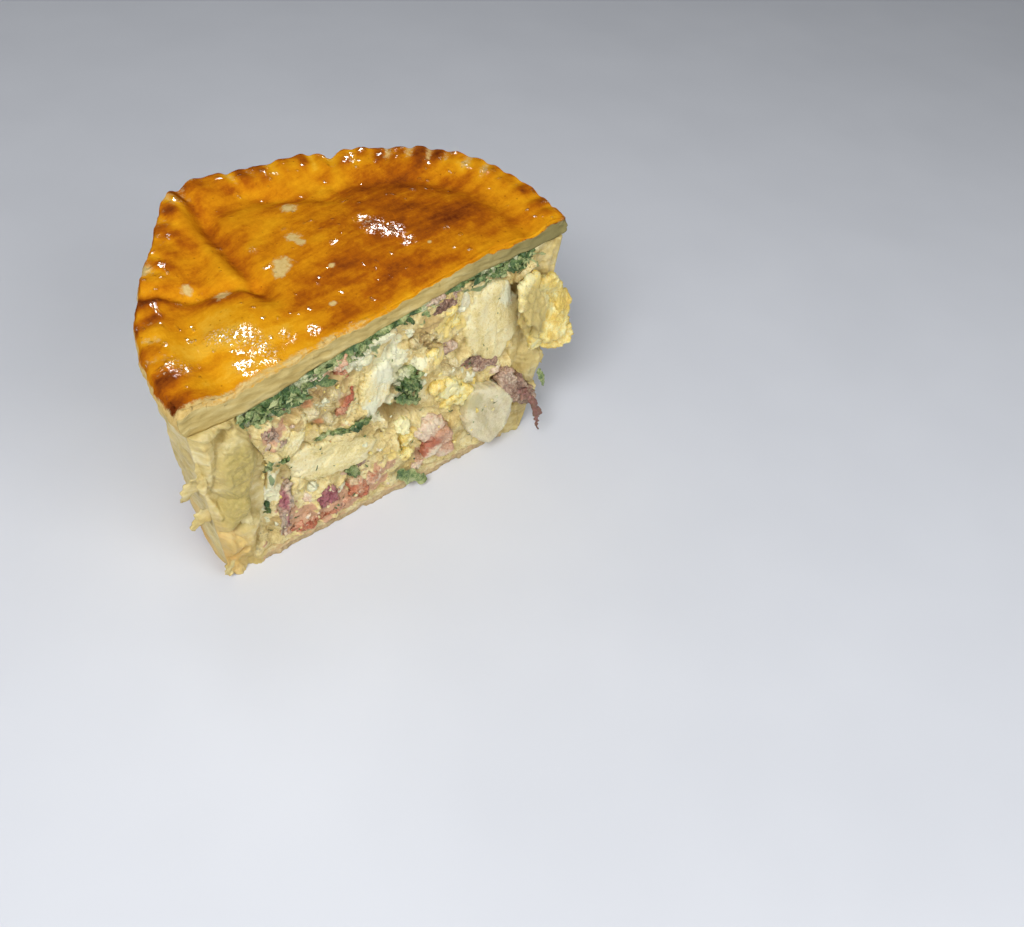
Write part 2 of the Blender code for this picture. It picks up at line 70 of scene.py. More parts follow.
def spot(x, y, centre, width, tall=None, turn=0.0):
    """A round or oval hill of height one at a place, its width along the turned axis."""
    u, v = axes_at(x, y, centre, turn)
    return np.exp(-((u / width) ** 2) - (v / (tall or width)) ** 2)


def step(value, low, high):
    """Zero below low and one above high, with the curve 3 t squared minus 2 t cubed between them."""
    part = np.clip((value - low) / (high - low), 0, 1)
    return part * part * (3 - 2 * part)


def noise(points, size, seed, layers=1):
    """Random numbers on a lattice, blended by that curve along each axis; each finer layer is half."""
    table = np.random.default_rng(seed).uniform(-1, 1, (LATTICE,) * 3)
    total, weight = 0.0, 1.0
    for layer in range(layers):
        scaled = points / size * 2**layer + 7.3 * layer
        cell = np.floor(scaled).astype(int)
        part = scaled - cell
        part = part * part * (3 - 2 * part)
        value = 0.0
        for corner in itertools.product((0, 1), repeat=3):
            share = np.prod(np.where(np.array(corner) == 1, part, 1 - part), axis=-1)
            near = (cell + np.array(corner)) % LATTICE
            value = value + share * table[near[..., 0], near[..., 1], near[..., 2]]
        total = total + weight * value
        weight *= 0.5
    return total


def cells(points, size, seed):
    """Cells round scattered seeds: the vector from the nearest seed, how many millimetres a place
    lies inside its cell, and the cell's own number between zero and one."""
    table = np.random.default_rng(seed).random((*(CELL_TABLE,) * 3, 4))
    scaled = points / size
    cell = np.floor(scaled).astype(int)
    nearest = np.full(scaled.shape[:-1], 9.0)
    second, number, vector = nearest.copy(), np.zeros_like(nearest), np.zeros_like(scaled)
    for offset in itertools.product((-1, 0, 1), repeat=3):
        near = cell + np.array(offset)
        entry = table[tuple(np.moveaxis(near % CELL_TABLE, -1, 0))]
        away = scaled - near - 0.15 - 0.7 * entry[..., :3]
        distance = np.linalg.norm(away, axis=-1)
        closer = distance < nearest
        second = np.where(closer, nearest, np.minimum(second, distance))
        number = np.where(closer, entry[..., 3], number)
        vector = np.where(closer[..., None], away, vector)
        nearest = np.where(closer, distance, nearest)
    return vector * size, (second - nearest) * size, number


def broken(points, size, seed, height):
    """Relief of food that broke into facets: each cell stands out by its number and leans its own
    way, with a narrow ledge where it meets the next."""
    warped = points + 0.3 * size * noise(points, 0.8 * size, seed + 50)[..., None]
    away, gap, number = cells(warped, size, seed)
    lean = away[..., 0] * np.cos(40 * number) + away[..., 2] * np.sin(40 * number)
    return height * step(gap, 0, 0.22 * size) * (1.2 * (number - 0.5) + 1.3 * lean / size)


print("a step at a quarter of its way:", step(0.25, 0, 1))

# %% [markdown]
# A piece is one or more grids of points, welded where they meet. Each grid is a function of two
# parameters. Welding by rounded places closes seams and poles, and a body that comes out inside out
# is turned by the sign of its volume.

# %% Weld grids into a mesh
WELD_STEPS = 5000


def weld(grids):
    """Grids of points and whether each is turned over, as one list of points and triangles."""
    places, corners, start = [], [], 0
    for grid, turned in grids:
        rows, columns = grid.shape[:2]
        index = np.arange(rows * columns).reshape(rows, columns) + start
        a, b, c, d = index[:-1, :-1], index[1:, :-1], index[1:, 1:], index[:-1, 1:]
        if turned:
            b, d = d, b
        for triple in ((a, b, c), (a, c, d)):
            corners.append(np.stack(triple, axis=-1).reshape(-1, 3))
        places.append(grid.reshape(-1, 3))
        start += rows * columns
    places, corners = np.concatenate(places), np.concatenate(corners)
    keys = np.round(places * WELD_STEPS).astype(np.int64)
    _, first, where = np.unique(keys, axis=0, return_index=True, return_inverse=True)
    points, triangles = places[first], where.reshape(-1)[corners]
    a, b, c = triangles.T
    triangles = triangles[(a != b) & (b != c) & (c != a)]
    a, b, c = points[triangles.T]
    if np.einsum("ij,ij->", a, np.cross(b, c)) < 0:
        triangles = triangles[:, ::-1]
    return points, triangles


def outward(points, triangles):
    """Each point's direction: the sum of its triangles' normals by area, made one long."""
    a, b, c = points[triangles.T]
    normal = np.cross(b - a, c - a)
    total = np.stack(
        [
            sum(np.bincount(corner, normal[:, axis], len(points)) for corner in triangles.T)
            for axis in range(3)
        ],
        axis=1,
    )
    return total / np.maximum(np.linalg.norm(total, axis=1), 1e-12)[:, None]


def join(bodies):
    """Several bodies of points and triangles as one."""
    counts = np.cumsum([0] + [len(points) for points, _ in bodies[:-1]])
    points = np.concatenate([points for points, _ in bodies])
    return points, np.concatenate([tri + count for (_, tri), count in zip(bodies, counts)])


def add_piece(name, body, material, slot, replaces=(), **fields):
    """Puts millimetre points in the row's frame and makes them a piece, with a value at each point
    for every named field."""
    points, triangles = body
    mesh = bpy.data.meshes.new(name)
    mesh.from_pydata((points + SHIFT) * MM, [], triangles)
    mesh.polygons.foreach_set("use_smooth", np.ones(len(triangles), bool))
    for field, values in fields.items():
        values = np.broadcast_to(values, len(points)).astype(np.float32)
        mesh.attributes.new(field, "FLOAT", "POINT").data.foreach_set("value", values)
    mesh.materials.append(material)
    mesh.update()
    piece = bpy.data.objects.new(name, mesh)
    bpy.context.scene.collection.objects.link(piece)
    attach(piece, "root")
    if replaces:
        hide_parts(*replaces)
    print(f"{name}: {len(triangles)} triangles")


print("grids are welded at", 1 / WELD_STEPS, "mm")

# %% [markdown]
# Materials are written as sums. A small class wraps a shader output, so that mask * 2 + 0.1 adds the
# Math nodes by itself, and one method makes every other kind of node.

# %% Shader maths


class Output:
    """A shader output that takes part in Python sums."""

    def __init__(self, paint, socket):
        self.paint, self.socket = paint, socket

    def maths(self, operation, *values):
        """One Math node on this output and another value."""
        settings = {"operation": operation}
        return self.paint.node("ShaderNodeMath", settings, dict(enumerate(values)))

    def __add__(self, other):
        return self.maths("ADD", self, other)

    def __sub__(self, other):
        return self.maths("SUBTRACT", self, other)

    def __rsub__(self, other):
        return self.maths("SUBTRACT", other, self)

    def __mul__(self, other):
        return self.maths("MULTIPLY", self, other)

    __radd__ = __add__
    __rmul__ = __mul__

    def between(self, low, high):
        """Zero at low and one at high, smooth and clamped."""
        settings = {"interpolation_type": "SMOOTHSTEP"}
        return self.paint.node("ShaderNodeMapRange", settings, {0: self, 1: low, 2: high})


class Paint:
    """One material, its pattern worked out on the piece's own place in the row's frame."""

    def __init__(self, name):
        self.material = bpy.data.materials.new(name)
        self.material.use_nodes = True
        self.tree = self.material.node_tree
        self.shader = self.tree.nodes["Principled BSDF"]
        self.place = self.node("ShaderNodeTexCoord", {}, {}, "Object")

    def node(self, kind, settings, sockets, output=0):
        """Adds a node, sets its settings, and links or fills each of its sockets."""
        made = self.tree.nodes.new(kind)
        for key, value in settings.items():
            if key == "stops":
                ramp = made.color_ramp
                while len(ramp.elements) < len(value):
                    ramp.elements.new(0.5)
                for element, (position, colour) in zip(ramp.elements, value):
                    element.position, element.color = position, (*colour, 1)
            else:
                setattr(made, key, value)
        for key, value in sockets.items():
            if isinstance(value, Output):
                self.tree.links.new(value.socket, made.inputs[key])
            else:
                made.inputs[key].default_value = value
        return Output(self, made.outputs[output])

    def noise(self, size, detail=3.0, roughness=0.55, stretch=None):
        """Noise between about 0.25 and 0.75, size in millimetres, drawn out along stretched axes."""
        place = self.place
        if stretch:
            place = self.node("ShaderNodeMapping", {}, {"Vector": place, "Scale": stretch})
        sockets = {"Vector": place, "Scale": 1 / (size * MM), "Detail": detail}
        return self.node("ShaderNodeTexNoise", {}, {**sockets, "Roughness": roughness})

    def grains(self, size):
        """Distance from the nearest of scattered points, size apart in millimetres."""
        return self.node("ShaderNodeTexVoronoi", {}, {"Vector": self.place, "Scale": 1 / (size * MM)})

    def field(self, name):
        """A value that the piece has at each of its points."""
        return self.node("ShaderNodeAttribute", {"attribute_name": name}, {}, "Fac")

    def ramp(self, factor, stops):
        """Colour along a list of positions and colours, blended in straight lines between them."""
        return self.node("ShaderNodeValToRGB", {"stops": stops}, {"Fac": factor})

    def mix(self, first, second, factor):
        """Colour that goes from the first to the second."""
        first, second = ((*c, 1) if isinstance(c, tuple) else c for c in (first, second))
        return self.node("ShaderNodeMix", {"data_type": "RGBA"}, {0: factor, 6: first, 7: second}, 2)

    def finish(self, colour, roughness, bump=None, depth=0.1, coat=0.0, **constants):
        """Links what varies and sets what is the same all over, by the socket's name with underscores.
        The depth of the bump is in millimetres."""
        for key, value in (("Base Color", colour), ("Roughness", roughness), ("Coat Weight", coat)):
            if isinstance(value, Output):
                self.tree.links.new(value.socket, self.shader.inputs[key])
            else:
                self.shader.inputs[key].default_value = value
        self.shader.inputs["Subsurface Radius"].default_value = (1.0, 0.6, 0.3)
        self.shader.inputs["Subsurface Scale"].default_value = 2.5 * MM
        for key, value in constants.items():
            socket = key.replace("_", " ").title().replace("Ior", "IOR")
            self.shader.inputs[socket].default_value = value
        if bump:
            sockets = {"Height": bump, "Distance": depth * MM, "Strength": 1.0}
            normal = self.node("ShaderNodeBump", {}, sockets)
            self.tree.links.new(normal.socket, self.shader.inputs["Normal"])
        return self.material


print("shader maths is ready")

# %% [markdown]
# The pastry lid was brushed with egg, so it bakes to a glossy orange brown: darker where it stands
# proud, pale where the brush missed, and sparkling where the glaze dried in small blisters, with pale
# flecks painted there as highlights. How much of each a point has is worked out from the shape in
# numpy and kept on the mesh as a field.

# %% Paint for the pastry


def glazed_crust():
    """Lid: brown by its field, bare dough, layered cut dough with painted shade, and glaze with painted
    glints.
    """
    paint = Paint("glazed_crust")
    brown, pale, gloss, cut = (paint.field(name) for name in ("brown", "pale", "gloss", "cut"))
    blotches = paint.noise(8, 5, 0.65)
    brushed = paint.noise(4, 5, 0.7, stretch=(0.16, 0.75, 0.3))
    fine = paint.noise(1.3, 4, 0.7)
    tone = brown + (blotches - 0.5) * 0.85 + (brushed - 0.5) * 0.85 + (fine - 0.5) * 0.35
    baked = paint.ramp(
        tone,
        [
            (0.0, (0.79, 0.42, 0.030)),
            (0.22, (0.74, 0.330, 0.009)),
            (0.45, (0.60, 0.218, 0.006)),
            (0.66, (0.41, 0.108, 0.005)),
            (0.84, (0.25, 0.058, 0.006)),
            (1.0, (0.13, 0.026, 0.005)),
        ],
    )
    blister = (1 - paint.grains(1.9).between(0.06, 0.2)) * fine.between(0.48, 0.6) * 0.6
    baked = paint.mix(baked, (0.22, 0.05, 0.003), blister)
    dough = paint.ramp(fine, [(0.3, (0.58, 0.38, 0.11)), (0.7, (0.72, 0.54, 0.23))])
    bare = (pale + (fine - 0.5) * 1.3 + (blotches - 0.5) * 0.7).between(0.28, 0.85)
    colour = paint.mix(baked, dough, bare)
    leaves = paint.noise(2.0, 4, 0.6, stretch=(0.3, 0.5, 1.2))
    sliced = paint.ramp(
        leaves,
        [(0.3, (0.40, 0.29, 0.10)), (0.5, (0.51, 0.39, 0.15)), (0.7, (0.61, 0.50, 0.23))],
    )
    # On the cut dough the brown field is painted shade, darker towards the right end.
    sliced = paint.mix(sliced, (0.20, 0.18, 0.075), brown * 0.85)
    sliced_part = (cut + (fine - 0.5) * 0.7).between(0.3, 0.7)
    colour = paint.mix(colour, sliced, sliced_part)
    ripples = paint.noise(0.7, 3, 0.6)
    # Painted highlights: pale flecks mixed into the colour where the glaze shines, standing in for
    # sparkles.
    painted_glints = gloss * paint.noise(0.55, 2).between(0.56, 0.62)
    colour = paint.mix(colour, (0.88, 0.74, 0.50), painted_glints * gloss.between(0.3, 0.8) * 0.8)
    bump = ripples * (0.2 + gloss * 2.4) + fine * 0.5 + sliced_part * leaves * 1.2
    wet = gloss.between(0.05, 0.6) * ripples.between(0.49, 0.57)
    return paint.finish(
        colour,
        0.5 + bare * 0.15,
        bump,
        depth=0.28,
        coat=(1 - bare) * (1 - sliced_part) * wet,
        coat_roughness=0.10,
        specular_ior_level=0.0,
    )


def baked_case():
    """Side and folded ends of the case: pale, oily layers, golden where the tin touched them."""
    paint = Paint("baked_case")
    brown, glassy, low = (paint.field(name) for name in ("brown", "glassy", "low"))
    flakes = paint.noise(2.2, 4, 0.6, stretch=(0.35, 0.35, 1.0))
    cloud = paint.noise(7, 3)
    fine = paint.noise(0.9, 3, 0.6)
    tone = paint.ramp(
        flakes + (cloud - 0.5) * 0.9,
        [(0.25, (0.48, 0.35, 0.11)), (0.5, (0.63, 0.50, 0.20)), (0.75, (0.76, 0.66, 0.36))],
    )
    oily = paint.ramp(fine, [(0.3, (0.36, 0.28, 0.07)), (0.7, (0.53, 0.42, 0.14))])
    toasted = paint.ramp(
        brown + (flakes - 0.5) * 0.5,
        [(0.3, (0.68, 0.49, 0.17)), (0.65, (0.64, 0.37, 0.08)), (1.0, (0.36, 0.12, 0.012))],
    )
    patchy = paint.noise(3.5, 3) + (fine - 0.5) * 0.6
    soaked = paint.ramp(
        patchy,
        [(0.36, (0.60, 0.33, 0.18)), (0.5, (0.64, 0.46, 0.25)), (0.62, (0.72, 0.62, 0.34))],
    )
    crust = paint.ramp(fine, [(0.35, (0.42, 0.28, 0.13)), (0.65, (0.56, 0.43, 0.22))])
    soaked = paint.mix(soaked, crust, (low + (fine - 0.5) * 0.3).between(0.62, 0.85))
    colour = paint.mix(tone, oily, (glassy + (fine - 0.5) * 0.6).between(0.25, 0.8))
    colour = paint.mix(colour, toasted, (brown + (cloud - 0.5) * 0.7).between(0.22, 0.75))
    colour = paint.mix(colour, soaked, (low + (fine - 0.5) * 0.5).between(0.3, 0.7))
    bump = flakes * 1.2 + fine * 0.8
    return paint.finish(
        colour,
        0.5 - glassy * 0.15,
        bump,
        depth=0.4,
        coat=0.12,
        coat_roughness=0.25,
        subsurface_weight=0.12,
        specular_ior_level=0.35,
    )


crust_paint, case_paint = glazed_crust(), baked_case()
print("materials:", crust_paint.name, "and", case_paint.name)

# %% [markdown]
# The pie is a half round: a straight cut in front, a curved side behind. A place in it has three
# numbers: how far round from the right end of the cut, how far back from the cut, and how high.
# These are the part's own sizes, in millimetres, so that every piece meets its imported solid.

# %% Sizes and surfaces of the pie
LID_RADIUS, BASE_RADIUS, CUT_OFFSET = 60.3, 54.0, 6.0
LID_HEIGHT, SLOPE_ALONG, SLOPE_BACK = 71.0, 0.12, 0.09
LID_THICKNESS, BASE_THICKNESS, GAP = 5.6, 3.4, 0.3
CRIMPS, CRIMP_DEPTH, CRIMP_WIDTH = 31, 0.6, 9.0


def rim_radius(angle):
    """The lid's edge from above: a circle with a flare, a flatter stretch and a notch, by degrees."""
    degrees = np.degrees(angle)
    flare = 7.0 * hill(degrees, 111, 14)
    return LID_RADIUS + flare - 3.0 * hill(degrees, 60, 19) - 2.4 * hill(degrees, 70, 3)


def turn_of(x, y):
    """Angle about the pie's middle, counted from the right."""
    angle = np.arctan2(y - CUT_OFFSET, x)
    return np.where(angle < -1.6, angle + 2 * np.pi, angle)


def edge_distance(x, y):
    """The rim's radius in that direction less the place's own distance from the middle."""
    return rim_radius(turn_of(x, y)) - np.hypot(x, y - CUT_OFFSET)


def lid_form(x, y):
    """A sloping plane, arched along the cut, low at both of its ends and lifted at the rim."""
    slope = LID_HEIGHT + SLOPE_ALONG * x + SLOPE_BACK * y
    arch = 2.1 * hill(x, 25, 25) - 2.6 * hill(x, 62, 9) - 1.0 * hill(x, -62, 10)
    lift = 1.6 * (1 - step(edge_distance(x, y), 5, 16))
    return slope + hill(y, 0, 24) * arch + lift + 2.0 * hill(x, -27, 14) * hill(y, 68, 14)


def valley(x, y, start, end, width):
    """One along a straight line, falling off across it and past its ends."""
    start, end = np.array(start), np.array(end)
    length = np.linalg.norm(end - start)
    along_x, along_y = (end - start) / length
    along = (x - start[0]) * along_x + (y - start[1]) * along_y
    across = (y - start[1]) * along_x - (x - start[0]) * along_y
    beyond = np.maximum(0, np.maximum(-along, along - length))
    return np.exp(-((across / width) ** 2) - (beyond / (2 * width)) ** 2)


def crimp(angle):
    """One at a line pressed with the fork, zero between two of them, a little uneven."""
    turn = np.degrees(angle) / 180 * CRIMPS
    uneven = 0.72 + 0.28 * np.sin(2.3 * turn + 0.7) * np.cos(0.71 * turn)
    return uneven * (0.5 + 0.5 * np.cos(2 * np.pi * turn + 0.5 * np.sin(1.9 * turn))) ** 1.5


def lid_top(x, y):
    """The form with its valleys, domes and pressed rim, and small blisters over all of it."""
    edge = edge_distance(x, y)
    height = lid_form(x, y)
    height = height - 1.9 * valley(x, y, (-22.5, 64), (-23, 24), 2.6)
    height = height + 1.0 * valley(x, y, (-27.5, 62), (-28, 30), 3.0)
    height = height - 1.5 * valley(x, y, (-51, 39), (-24, 27), 2.2)
    height = height - 1.0 * valley(x, y, (-10, 61), (9, 45), 2.4)
    height = height + 1.6 * spot(x, y, (-36, 15), 12, 10) + 1.5 * spot(x, y, (14, 27), 24, 15)
    height = height - 1.2 * hill(edge, 13, 4)
    flat = np.stack([x, y, np.zeros_like(x)], axis=-1)
    height = height + 0.45 * noise(flat, 15, 3) + 0.14 * noise(flat, 4.2, 4, 2)
    pressed = 1 - step(edge, CRIMP_WIDTH * 0.55, CRIMP_WIDTH)
    height = height + pressed * (0.5 + 0.35 * noise(flat, 5, 5))
    left = step(np.degrees(turn_of(x, y)), 125, 150)
    return height - CRIMP_DEPTH * crimp(turn_of(x, y)) * pressed * (1 - 0.5 * left)


def lid_bottom(x, y):
    """The same plane and arch without the rim's lift, one thickness lower and sagging at the left."""
    slope = LID_HEIGHT + SLOPE_ALONG * x + SLOPE_BACK * y
    arch = 2.1 * hill(x, 25, 25) * hill(y, 0, 24)
    return slope + arch - 2.6 * hill(x, -42, 16) * hill(y, 0, 20) - LID_THICKNESS


def lid_radius(angle, level):
    """The rim, rounded over its thickness and scalloped by the fork."""
    return rim_radius(angle) - 1.3 * (2 * level - 1) ** 2 - 0.3 * crimp(angle)


def wall_radius(angle, level):
    """Widening upwards, with the lid's flare and a drawn-in foot."""
    widening = (LID_RADIUS - 1.6 - BASE_RADIUS) * level**0.85
    flare = 0.7 * (rim_radius(angle) - LID_RADIUS) * level**1.3
    return BASE_RADIUS + widening + flare - 1.0 * hill(level, 0, 0.05)


def wall_thickness(angle, level):
    """Nine millimetres and a hill where the dough is folded at each end of the cut."""
    left = 8.5 * hill(np.degrees(angle), 184, 22) * hill(level, 0.66, 0.32)
    right = 3.5 * hill(np.degrees(angle), -4, 24) * hill(level, 0.5, 0.4)
    return 9.0 + left + right - 2.5 * hill(level, 0, 0.12)


def room_radius(angle, level):
    """The wall's radius less its thickness: the edge of the room for the filling."""
    level = np.clip(0.05 + 0.9 * level, 0, 1)
    return wall_radius(angle, level) - wall_thickness(angle, level)


def greens_top(x, y):
    """The lid's underside less a small gap."""
    return lid_bottom(x, y) - GAP


def greens_bottom(x, y):
    """Deep at the left of the cut, a thin line in its middle, thicker again at its right."""
    at_cut = 1.5 + 4.2 * hill(x, -36, 14) + 1.8 * hill(x, 42, 8)
    near = hill(y, 0, 14)
    return greens_top(x, y) - at_cut * near - 3.0 * (1 - near)


def filling_top(x, y):
    """Just under the greens."""
    return greens_bottom(x, y) - 0.1


def base_top(x, y):
    """Just over the base, the same height everywhere."""
    return np.full_like(x, BASE_THICKNESS + 0.1)


def ground(x, y):
    """Zero: the plane that the pie stands on."""
    return np.zeros_like(x)


def pie_point(radius, bottom, top, turn, row, level):
    """A place: a straight line from the cut to the side, and straight up between two surfaces."""
    start, stop = 0.0 * level, 0.0 * level
    for _ in range(8):
        start = np.arcsin(-CUT_OFFSET / radius(start, level))
        stop = np.arcsin(-CUT_OFFSET / radius(np.pi - stop, level))
    angle = start + (np.pi - stop - start) * turn
    reach = radius(angle, level)
    right, left = radius(start, level) * np.cos(start), -radius(np.pi - stop, level) * np.cos(stop)
    cut_x = right + (left - right) * turn
    x = cut_x * (1 - row) + reach * np.cos(angle) * row
    y = (CUT_OFFSET + reach * np.sin(angle)) * row
    x, y = np.broadcast_arrays(x, y)
    level = level + 0 * x
    return np.stack([x, y, bottom(x, y) * (1 - level) + top(x, y) * level], axis=-1)


def half_round(radius, bottom, top, turns, rows, levels):
    """Front, side, top and underside of such a body, welded."""
    turns, rows, levels = np.array(turns)[:, None], np.array(rows)[None], np.array(levels)[None]
    zero, one, under_rows = np.zeros((1, 1)), np.ones((1, 1)), np.array([[0, 0.5, 1]])
    front = pie_point(radius, bottom, top, turns, zero, levels)
    side = pie_point(radius, bottom, top, turns, one, levels)
    above = pie_point(radius, bottom, top, turns, rows, one)
    below = pie_point(radius, bottom, top, turns, under_rows, zero)
    return weld([(front, True), (side, False), (above, True), (below, False)])


print("lid at the middle of the cut:", round(float(lid_top(np.array(0.0), np.array(0.0))), 2), "mm")

# %% [markdown]
# The lid is a thick sheet. Its top is one fine grid, so the crimps, creases and blisters are real
# relief. Four fields ride on it: how brown the glaze is, with painted shade on the cut dough in its
# place, where the dough stayed bare, where the knife sliced it, and where the glaze shines and pale
# flecks are painted as highlights.

# %% Pastry lid
# Places where the brush missed the dough: x, y, size
BARE_SPOTS = (
    (-1.6, 47.2, 2.5), (-7.2, 35.8, 2.2), (-6.6, 32.6, 1.4), (-14.6, 29.0, 2.8), (-17.0, 26.4, 1.8),
    (-32.1, 29, 2.0), (-5.1, 20.5, 0.9), (-38, 36, 1.6), (-12, 9.6, 1.0), (20, 12, 0.8), (-46, 46, 3.2),
)
# Places where the lid is baked darker, or lighter where the amount is negative:
# x, y, width, tall, amount
BROWNED = (
    (22, 38, 20, 12, 0.34), (25, 17, 16, 9, 0.42), (8, 8, 13, 6, 0.20), (-6, 17, 12, 7, 0.27),
    (-10, 4, 9, 3.5, 0.22), (-21, 17, 7, 7, 0.14), (-30, 46, 9, 12, 0.14), (-27, 70, 8, 5, 0.3),
    (4, 67, 14, 5, 0.22), (57, 6, 6, 9, 0.15), (-56, 5, 5, 6, 0.2), (-36, 15, 14, 10, -0.27),
    (-53, 25, 5, 12, -0.18), (-10, 57, 6, 5, 0.16), (3, 48, 8, 6, -0.12), (-22, 1, 22, 3, -0.14),
    (-8, 41, 7, 6, -0.10), (42, 21, 6, 6, -0.10), (34, 19, 6, 5, 0.16), (48, 17, 6, 6, 0.10),
    (53, 32, 5, 8, 0.14), (-42, 33, 8, 6, 0.12),
)
# Places where the glaze pooled: x, y, size
SHINY_SPOTS = (
    (-41, 16, 3.2), (-37, 12.5, 3.4), (-33.8, 9, 2.6), (-33, 4.4, 2.4), (-40, 4.8, 2.6), (-27, 7, 1.8),
    (-20.6, 5, 1.4), (-52, 12, 2.6), (12, 26, 2.6), (14.6, 21.4, 2.4), (16, 15.5, 1.6), (11, 30, 1.6),
    (33, 56, 2.6), (35, 51, 2.2), (18, 61, 2.4), (40, 47, 1.8), (22, 53, 1.6), (51, 27, 1.5),
    (-18, 38, 1.2), (-42, 33, 1.2), (0, 27, 0.9), (30, 33, 0.9), (-24, 45, 0.9), (27, 14, 1.0),
)


def lid_browning(points):
    """Sum of oval hills for the well and lightly baked places, and the ridges between crimps."""
    x, y = points[:, 0], points[:, 1]
    edge, angle = edge_distance(x, y), turn_of(x, y)
    brown = 0.38 + 0.10 * noise(points, 13, 41, 2) + 0.10 * noise(points * [0.35, 1, 1], 3.5, 45, 2)
    for spot_x, spot_y, wide, tall, amount in BROWNED:
        brown += amount * spot(x, y, (spot_x, spot_y), wide, tall)
    brown += 0.14 * valley(x, y, (-22.5, 60), (-24, 26), 2.2)
    brown += 0.24 * valley(x, y, (-52, 36), (-26, 24), 2.0)
    brown -= 0.12 * valley(x, y, (-26.8, 60), (-27.5, 34), 1.8)
    rim = 1 - step(edge, 5, 10)
    ridges = 1 - 0.7 * step(np.degrees(angle), 130, 150)
    brown += rim * (0.14 - 0.38 * crimp(angle) * ridges + 0.26 * noise(points, 5, 42, 2))
    return brown + 0.12 * hill(edge, 0.5, 1.2)


def lid_bareness(points):
    """Sum of round hills at the bare spots, the worn lines of the fork, blotches on the rim, and a
    ragged strip along the cut."""
    x, y = points[:, 0], points[:, 1]
    edge, angle = edge_distance(x, y), np.degrees(turn_of(x, y))
    bare = np.zeros(len(points))
    for spot_x, spot_y, size in BARE_SPOTS:
        bare += 1.0 * spot(x, y, (spot_x, spot_y), size)
    pressed = (1 - step(edge, 5.0, 8.5)) * step(edge, 0.4, 1.6) * crimp(np.radians(angle))
    worn = 0.16 + 0.26 * hill(angle, 104, 16) + 0.7 * hill(angle, 38, 22) + 0.3 * hill(angle, 165, 14)
    bare += pressed * worn
    blotchy = (1 - step(edge, 4, 9)) * step(noise(points, 5, 43, 3), 0.0, 0.6)
    bare += blotchy * (0.12 + 0.4 * hill(angle, 108, 10))
    near_cut = (1 - step(y + 0.8 * noise(points, 4, 46, 2), 0.2, 2.6)) * step(-x, -10, 25)
    return bare + 0.75 * near_cut


def lid_gloss(points):
    """Sum of round hills where the glaze pooled, and the peaks of a fine noise."""
    x, y = points[:, 0], points[:, 1]
    rim = 1 - step(edge_distance(x, y), 4, 9)
    gloss = 0.8 * rim * step(noise(points, 2.0, 57, 2), 0.5, 0.8)
    gloss = gloss + 0.8 * step(noise(points, 1.6, 58), 0.72, 0.84)
    for spot_x, spot_y, size in SHINY_SPOTS:
        gloss = gloss + spot(x, y, (spot_x, spot_y), size)
    return np.clip(gloss, 0, 1)


lid_points, lid_faces = half_round(
    lid_radius,
    lid_bottom,
    lid_top,
    np.linspace(0, 1, 421),
    np.linspace(0, 1, 131),
    np.linspace(0, 1, 15),
)
x, y, z = lid_points.T
under, over = lid_bottom(x, y), lid_top(x, y)
height_share = np.clip((z - under) / (over - under), 0, 1)
on_cut = hill(y, 0, 0.4)
on_side = 1 - step(edge_distance(x, y), 0.8, 2.4)
ragged = on_cut * (0.35 * noise(lid_points, 3.2, 51, 2) + 0.25 * noise(lid_points * [0.2, 1, 1], 0.8, 52))
ragged += on_side * (0.35 * noise(lid_points, 3.5, 53, 2) + 0.2 * noise(lid_points * [1, 1, 3], 2.0, 54))
ragged += 0.16 * lid_gloss(lid_points) * noise(lid_points, 1.3, 55) * step(height_share, 0.9, 1)
lid_points = lid_points + outward(lid_points, lid_faces) * ragged[:, None]
glaze_edge = 0.80 + 0.12 * noise(lid_points * [1, 1, 0.2], 3.0, 56, 2)
below_glaze = 1 - step(height_share, glaze_edge - 0.12, glaze_edge + 0.08)
browning = np.clip(lid_browning(lid_points), 0, 1)
bareness = np.maximum(lid_bareness(lid_points), 1.2 * on_side * (1 - step(height_share, 0.5, 0.9)))
add_piece(
    "lid_crust",
    (lid_points, lid_faces),
    crust_paint,
    "golden_crust",
    ["pastry_lid"],
    # On the cut dough below the glaze, brown holds painted shade that grows towards the right end.
    brown=np.where(on_cut * below_glaze > 0.4, step(x, 5, 52), browning),
    pale=bareness,
    cut=below_glaze * (1 - on_side * (1 - on_cut)),
    gloss=lid_gloss(lid_points) * height_share,
)

# %% [markdown]
# The case shows its folded, buttery layers at both ends of the cut. They are lobes: each is an
# oval with a steep edge, laid over the next and stepped like leaves of dough. Behind the filling
# the face steps back, so that the egg has room.

# %% Pastry case


def fold(x, z, centre, long, wide, turn, height):
    """A lobe: a rounded oval with a firm edge, a low power of one minus its squared distance."""
    u, v = axes_at(x, z, centre, turn)
    inside = np.clip(1 - (u / long) ** 2 - (v / wide) ** 2, 0, 1)
    return height * inside**0.5


LEFT_FOLDS = (
    ((-48.4, 43.0), 12.5, 6.2, 84, 3.2),
    ((-56.8, 46.0), 9.5, 3.2, 88, 2.2),
    ((-51.6, 28.5), 7.5, 4.4, 66, 3.4),
    ((-57.0, 31.0), 7.5, 2.4, 95, 2.0),
    ((-47.8, 19.5), 7.0, 3.4, 58, 3.0),
    ((-53.2, 15.0), 6.5, 2.6, 76, 2.2),
    ((-49.0, 9.5), 5.0, 3.0, 35, 2.0),
    ((-54.0, 56.5), 8.5, 2.0, 12, 2.6),
)
RIGHT_FOLDS = (
    ((52.0, 48.0), 10.0, 6.0, 95, 1.6),
    ((52.5, 28.0), 9.0, 5.0, 100, 2.0),
    ((51.0, 12.0), 8.0, 4.5, 85, 1.4),
)
LAYER, FACE_SETBACK = 0.75, 7.0


